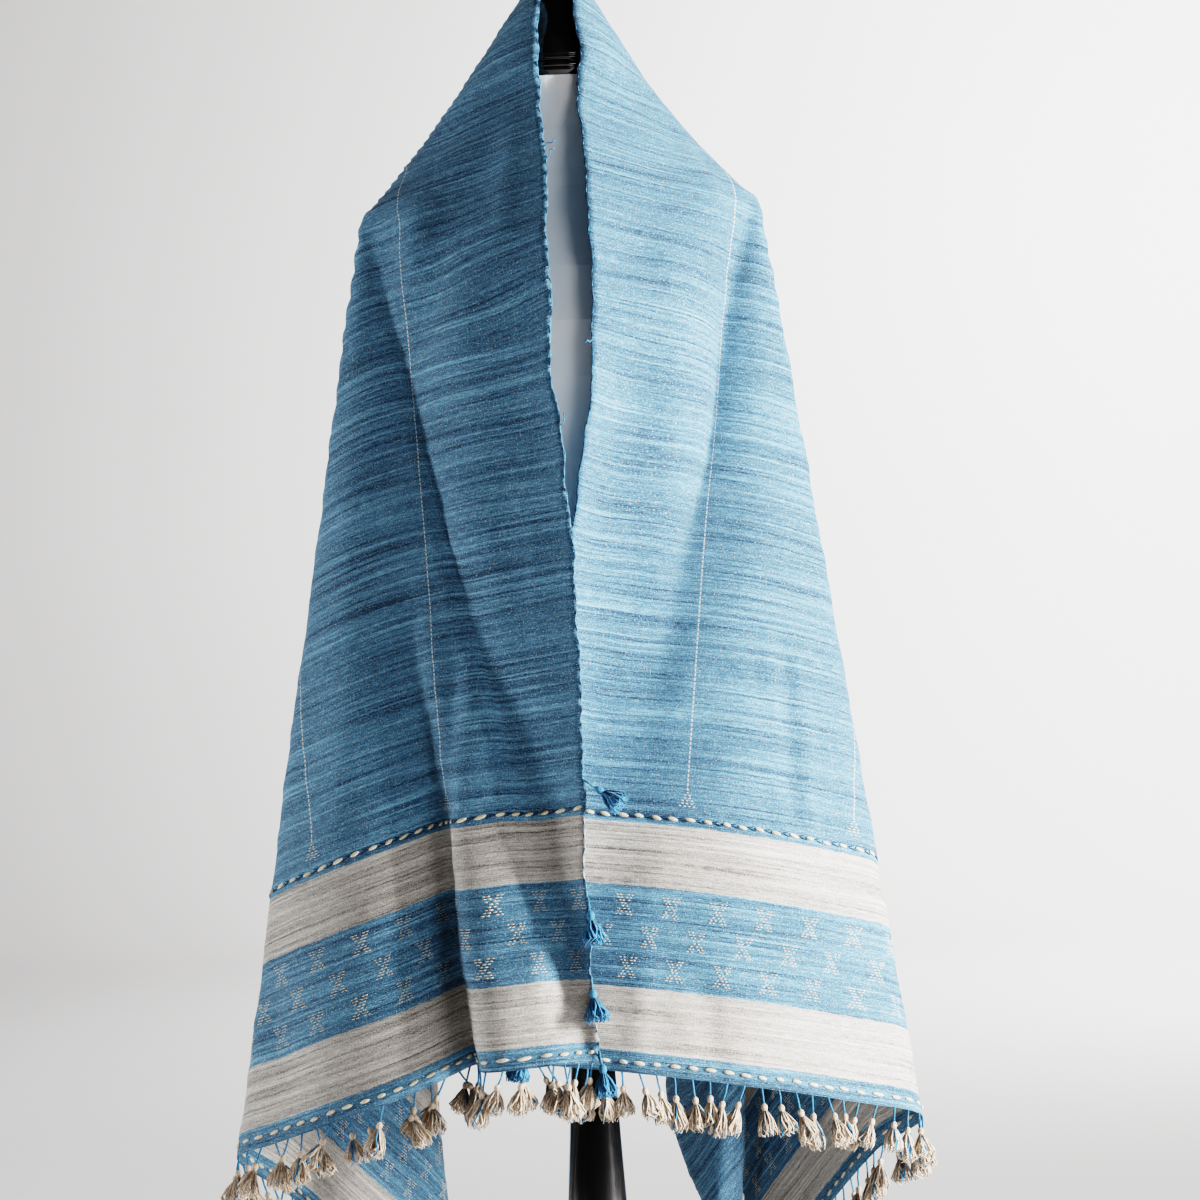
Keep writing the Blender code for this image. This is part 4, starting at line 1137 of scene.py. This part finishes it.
def smooth_profile(rows, step):
    """Profile of height and radius read at fine, even distances along a smooth curve through its rows."""
    rows = np.array(rows)
    legs = np.concatenate(([0.0], np.cumsum(np.linalg.norm(np.diff(rows, axis=0), axis=1))))
    at = grid(0.0, legs[-1], step)
    slopes = np.gradient(rows, legs, axis=0)
    leg = np.clip(np.searchsorted(legs, at, side="right") - 1, 0, len(legs) - 2)
    span = legs[leg + 1] - legs[leg]
    share = ((at - legs[leg]) / span)[:, None]
    first, second = rows[leg], rows[leg + 1]
    start, stop = slopes[leg] * span[:, None], slopes[leg + 1] * span[:, None]
    square, cube = share**2, share**3
    blend = (2 * cube - 3 * square + 1) * first + (3 * square - 2 * cube) * second
    return blend + (cube - 2 * square + share) * start + (cube - square) * stop


def lathe(name, rows, centre_y, node):
    """Closed turned piece from a profile of height and radius."""
    points = [(0.0, centre_y, rows[0][0])]
    for height, radius in rows:
        for step in range(LATHE_STEPS):
            spin = TURN * step / LATHE_STEPS
            points.append((radius * math.cos(spin), centre_y + radius * math.sin(spin), height))
    points.append((0.0, centre_y, rows[-1][0]))
    faces = []
    last = len(points) - 1
    for step in range(LATHE_STEPS):
        after = (step + 1) % LATHE_STEPS
        faces.append((0, 1 + after, 1 + step))
        faces.append((last, last - LATHE_STEPS + step, last - LATHE_STEPS + after))
        for ring in range(len(rows) - 1):
            low = 1 + ring * LATHE_STEPS
            faces.append((low + step, low + after, low + LATHE_STEPS + after, low + LATHE_STEPS + step))
    piece = mesh_piece(name, points, faces, [lacquer])
    piece.data.set_sharp_from_angle(angle=math.radians(50.0))
    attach(piece, "root")
    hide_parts(node)
    return piece


cap_rows = smooth_profile([(CAP_BOTTOM + rise, radius) for rise, radius in CAP_PROFILE], CAP_STEP)
for groove in GROOVES:
    cap_rows[:, 1] -= GROOVE_DEPTH * np.exp(-(((cap_rows[:, 0] - groove) / GROOVE_HALF) ** 2))
lathe("neck_cap", cap_rows, CAP_CENTRE_Y, "form_neck_cap")

# Columns: height, radius.
POST_PROFILE = [
    (0.0303, 0.0380),
    (0.0450, 0.0380),
    (0.0600, 0.0300),
    (0.1100, 0.0230),
    (0.2200, 0.0260),
    (0.3300, 0.0285),
    (0.4300, 0.0235),
    (0.5200, 0.0190),
    (0.6000, 0.0170),
    (0.7197, 0.0170),
]
lathe("post", smooth_profile(POST_PROFILE, POST_STEP), 0.0, "form_post")

BASE_RADIUS = 0.170
BASE_HEIGHT = 0.030
BASE_EDGE = 0.009
BASE_EDGE_STEPS = 12
BASE_CHAMFER = 0.002
base_rows = [(0.0, BASE_RADIUS - BASE_CHAMFER), (BASE_CHAMFER, BASE_RADIUS)]
for step in range(BASE_EDGE_STEPS + 1):
    angle = math.radians(90.0 * step / BASE_EDGE_STEPS)
    rise = BASE_HEIGHT - BASE_EDGE + BASE_EDGE * math.sin(angle)
    base_rows.append((rise, BASE_RADIUS - BASE_EDGE + BASE_EDGE * math.cos(angle)))
lathe("base", base_rows, 0.0, "form_base")


# The imported model's box and the dressed one's are gathered side by side.

low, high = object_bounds()
sizes = {"cad": [list(cad_low), list(cad_high)], "visual": [list(low), list(high)]}
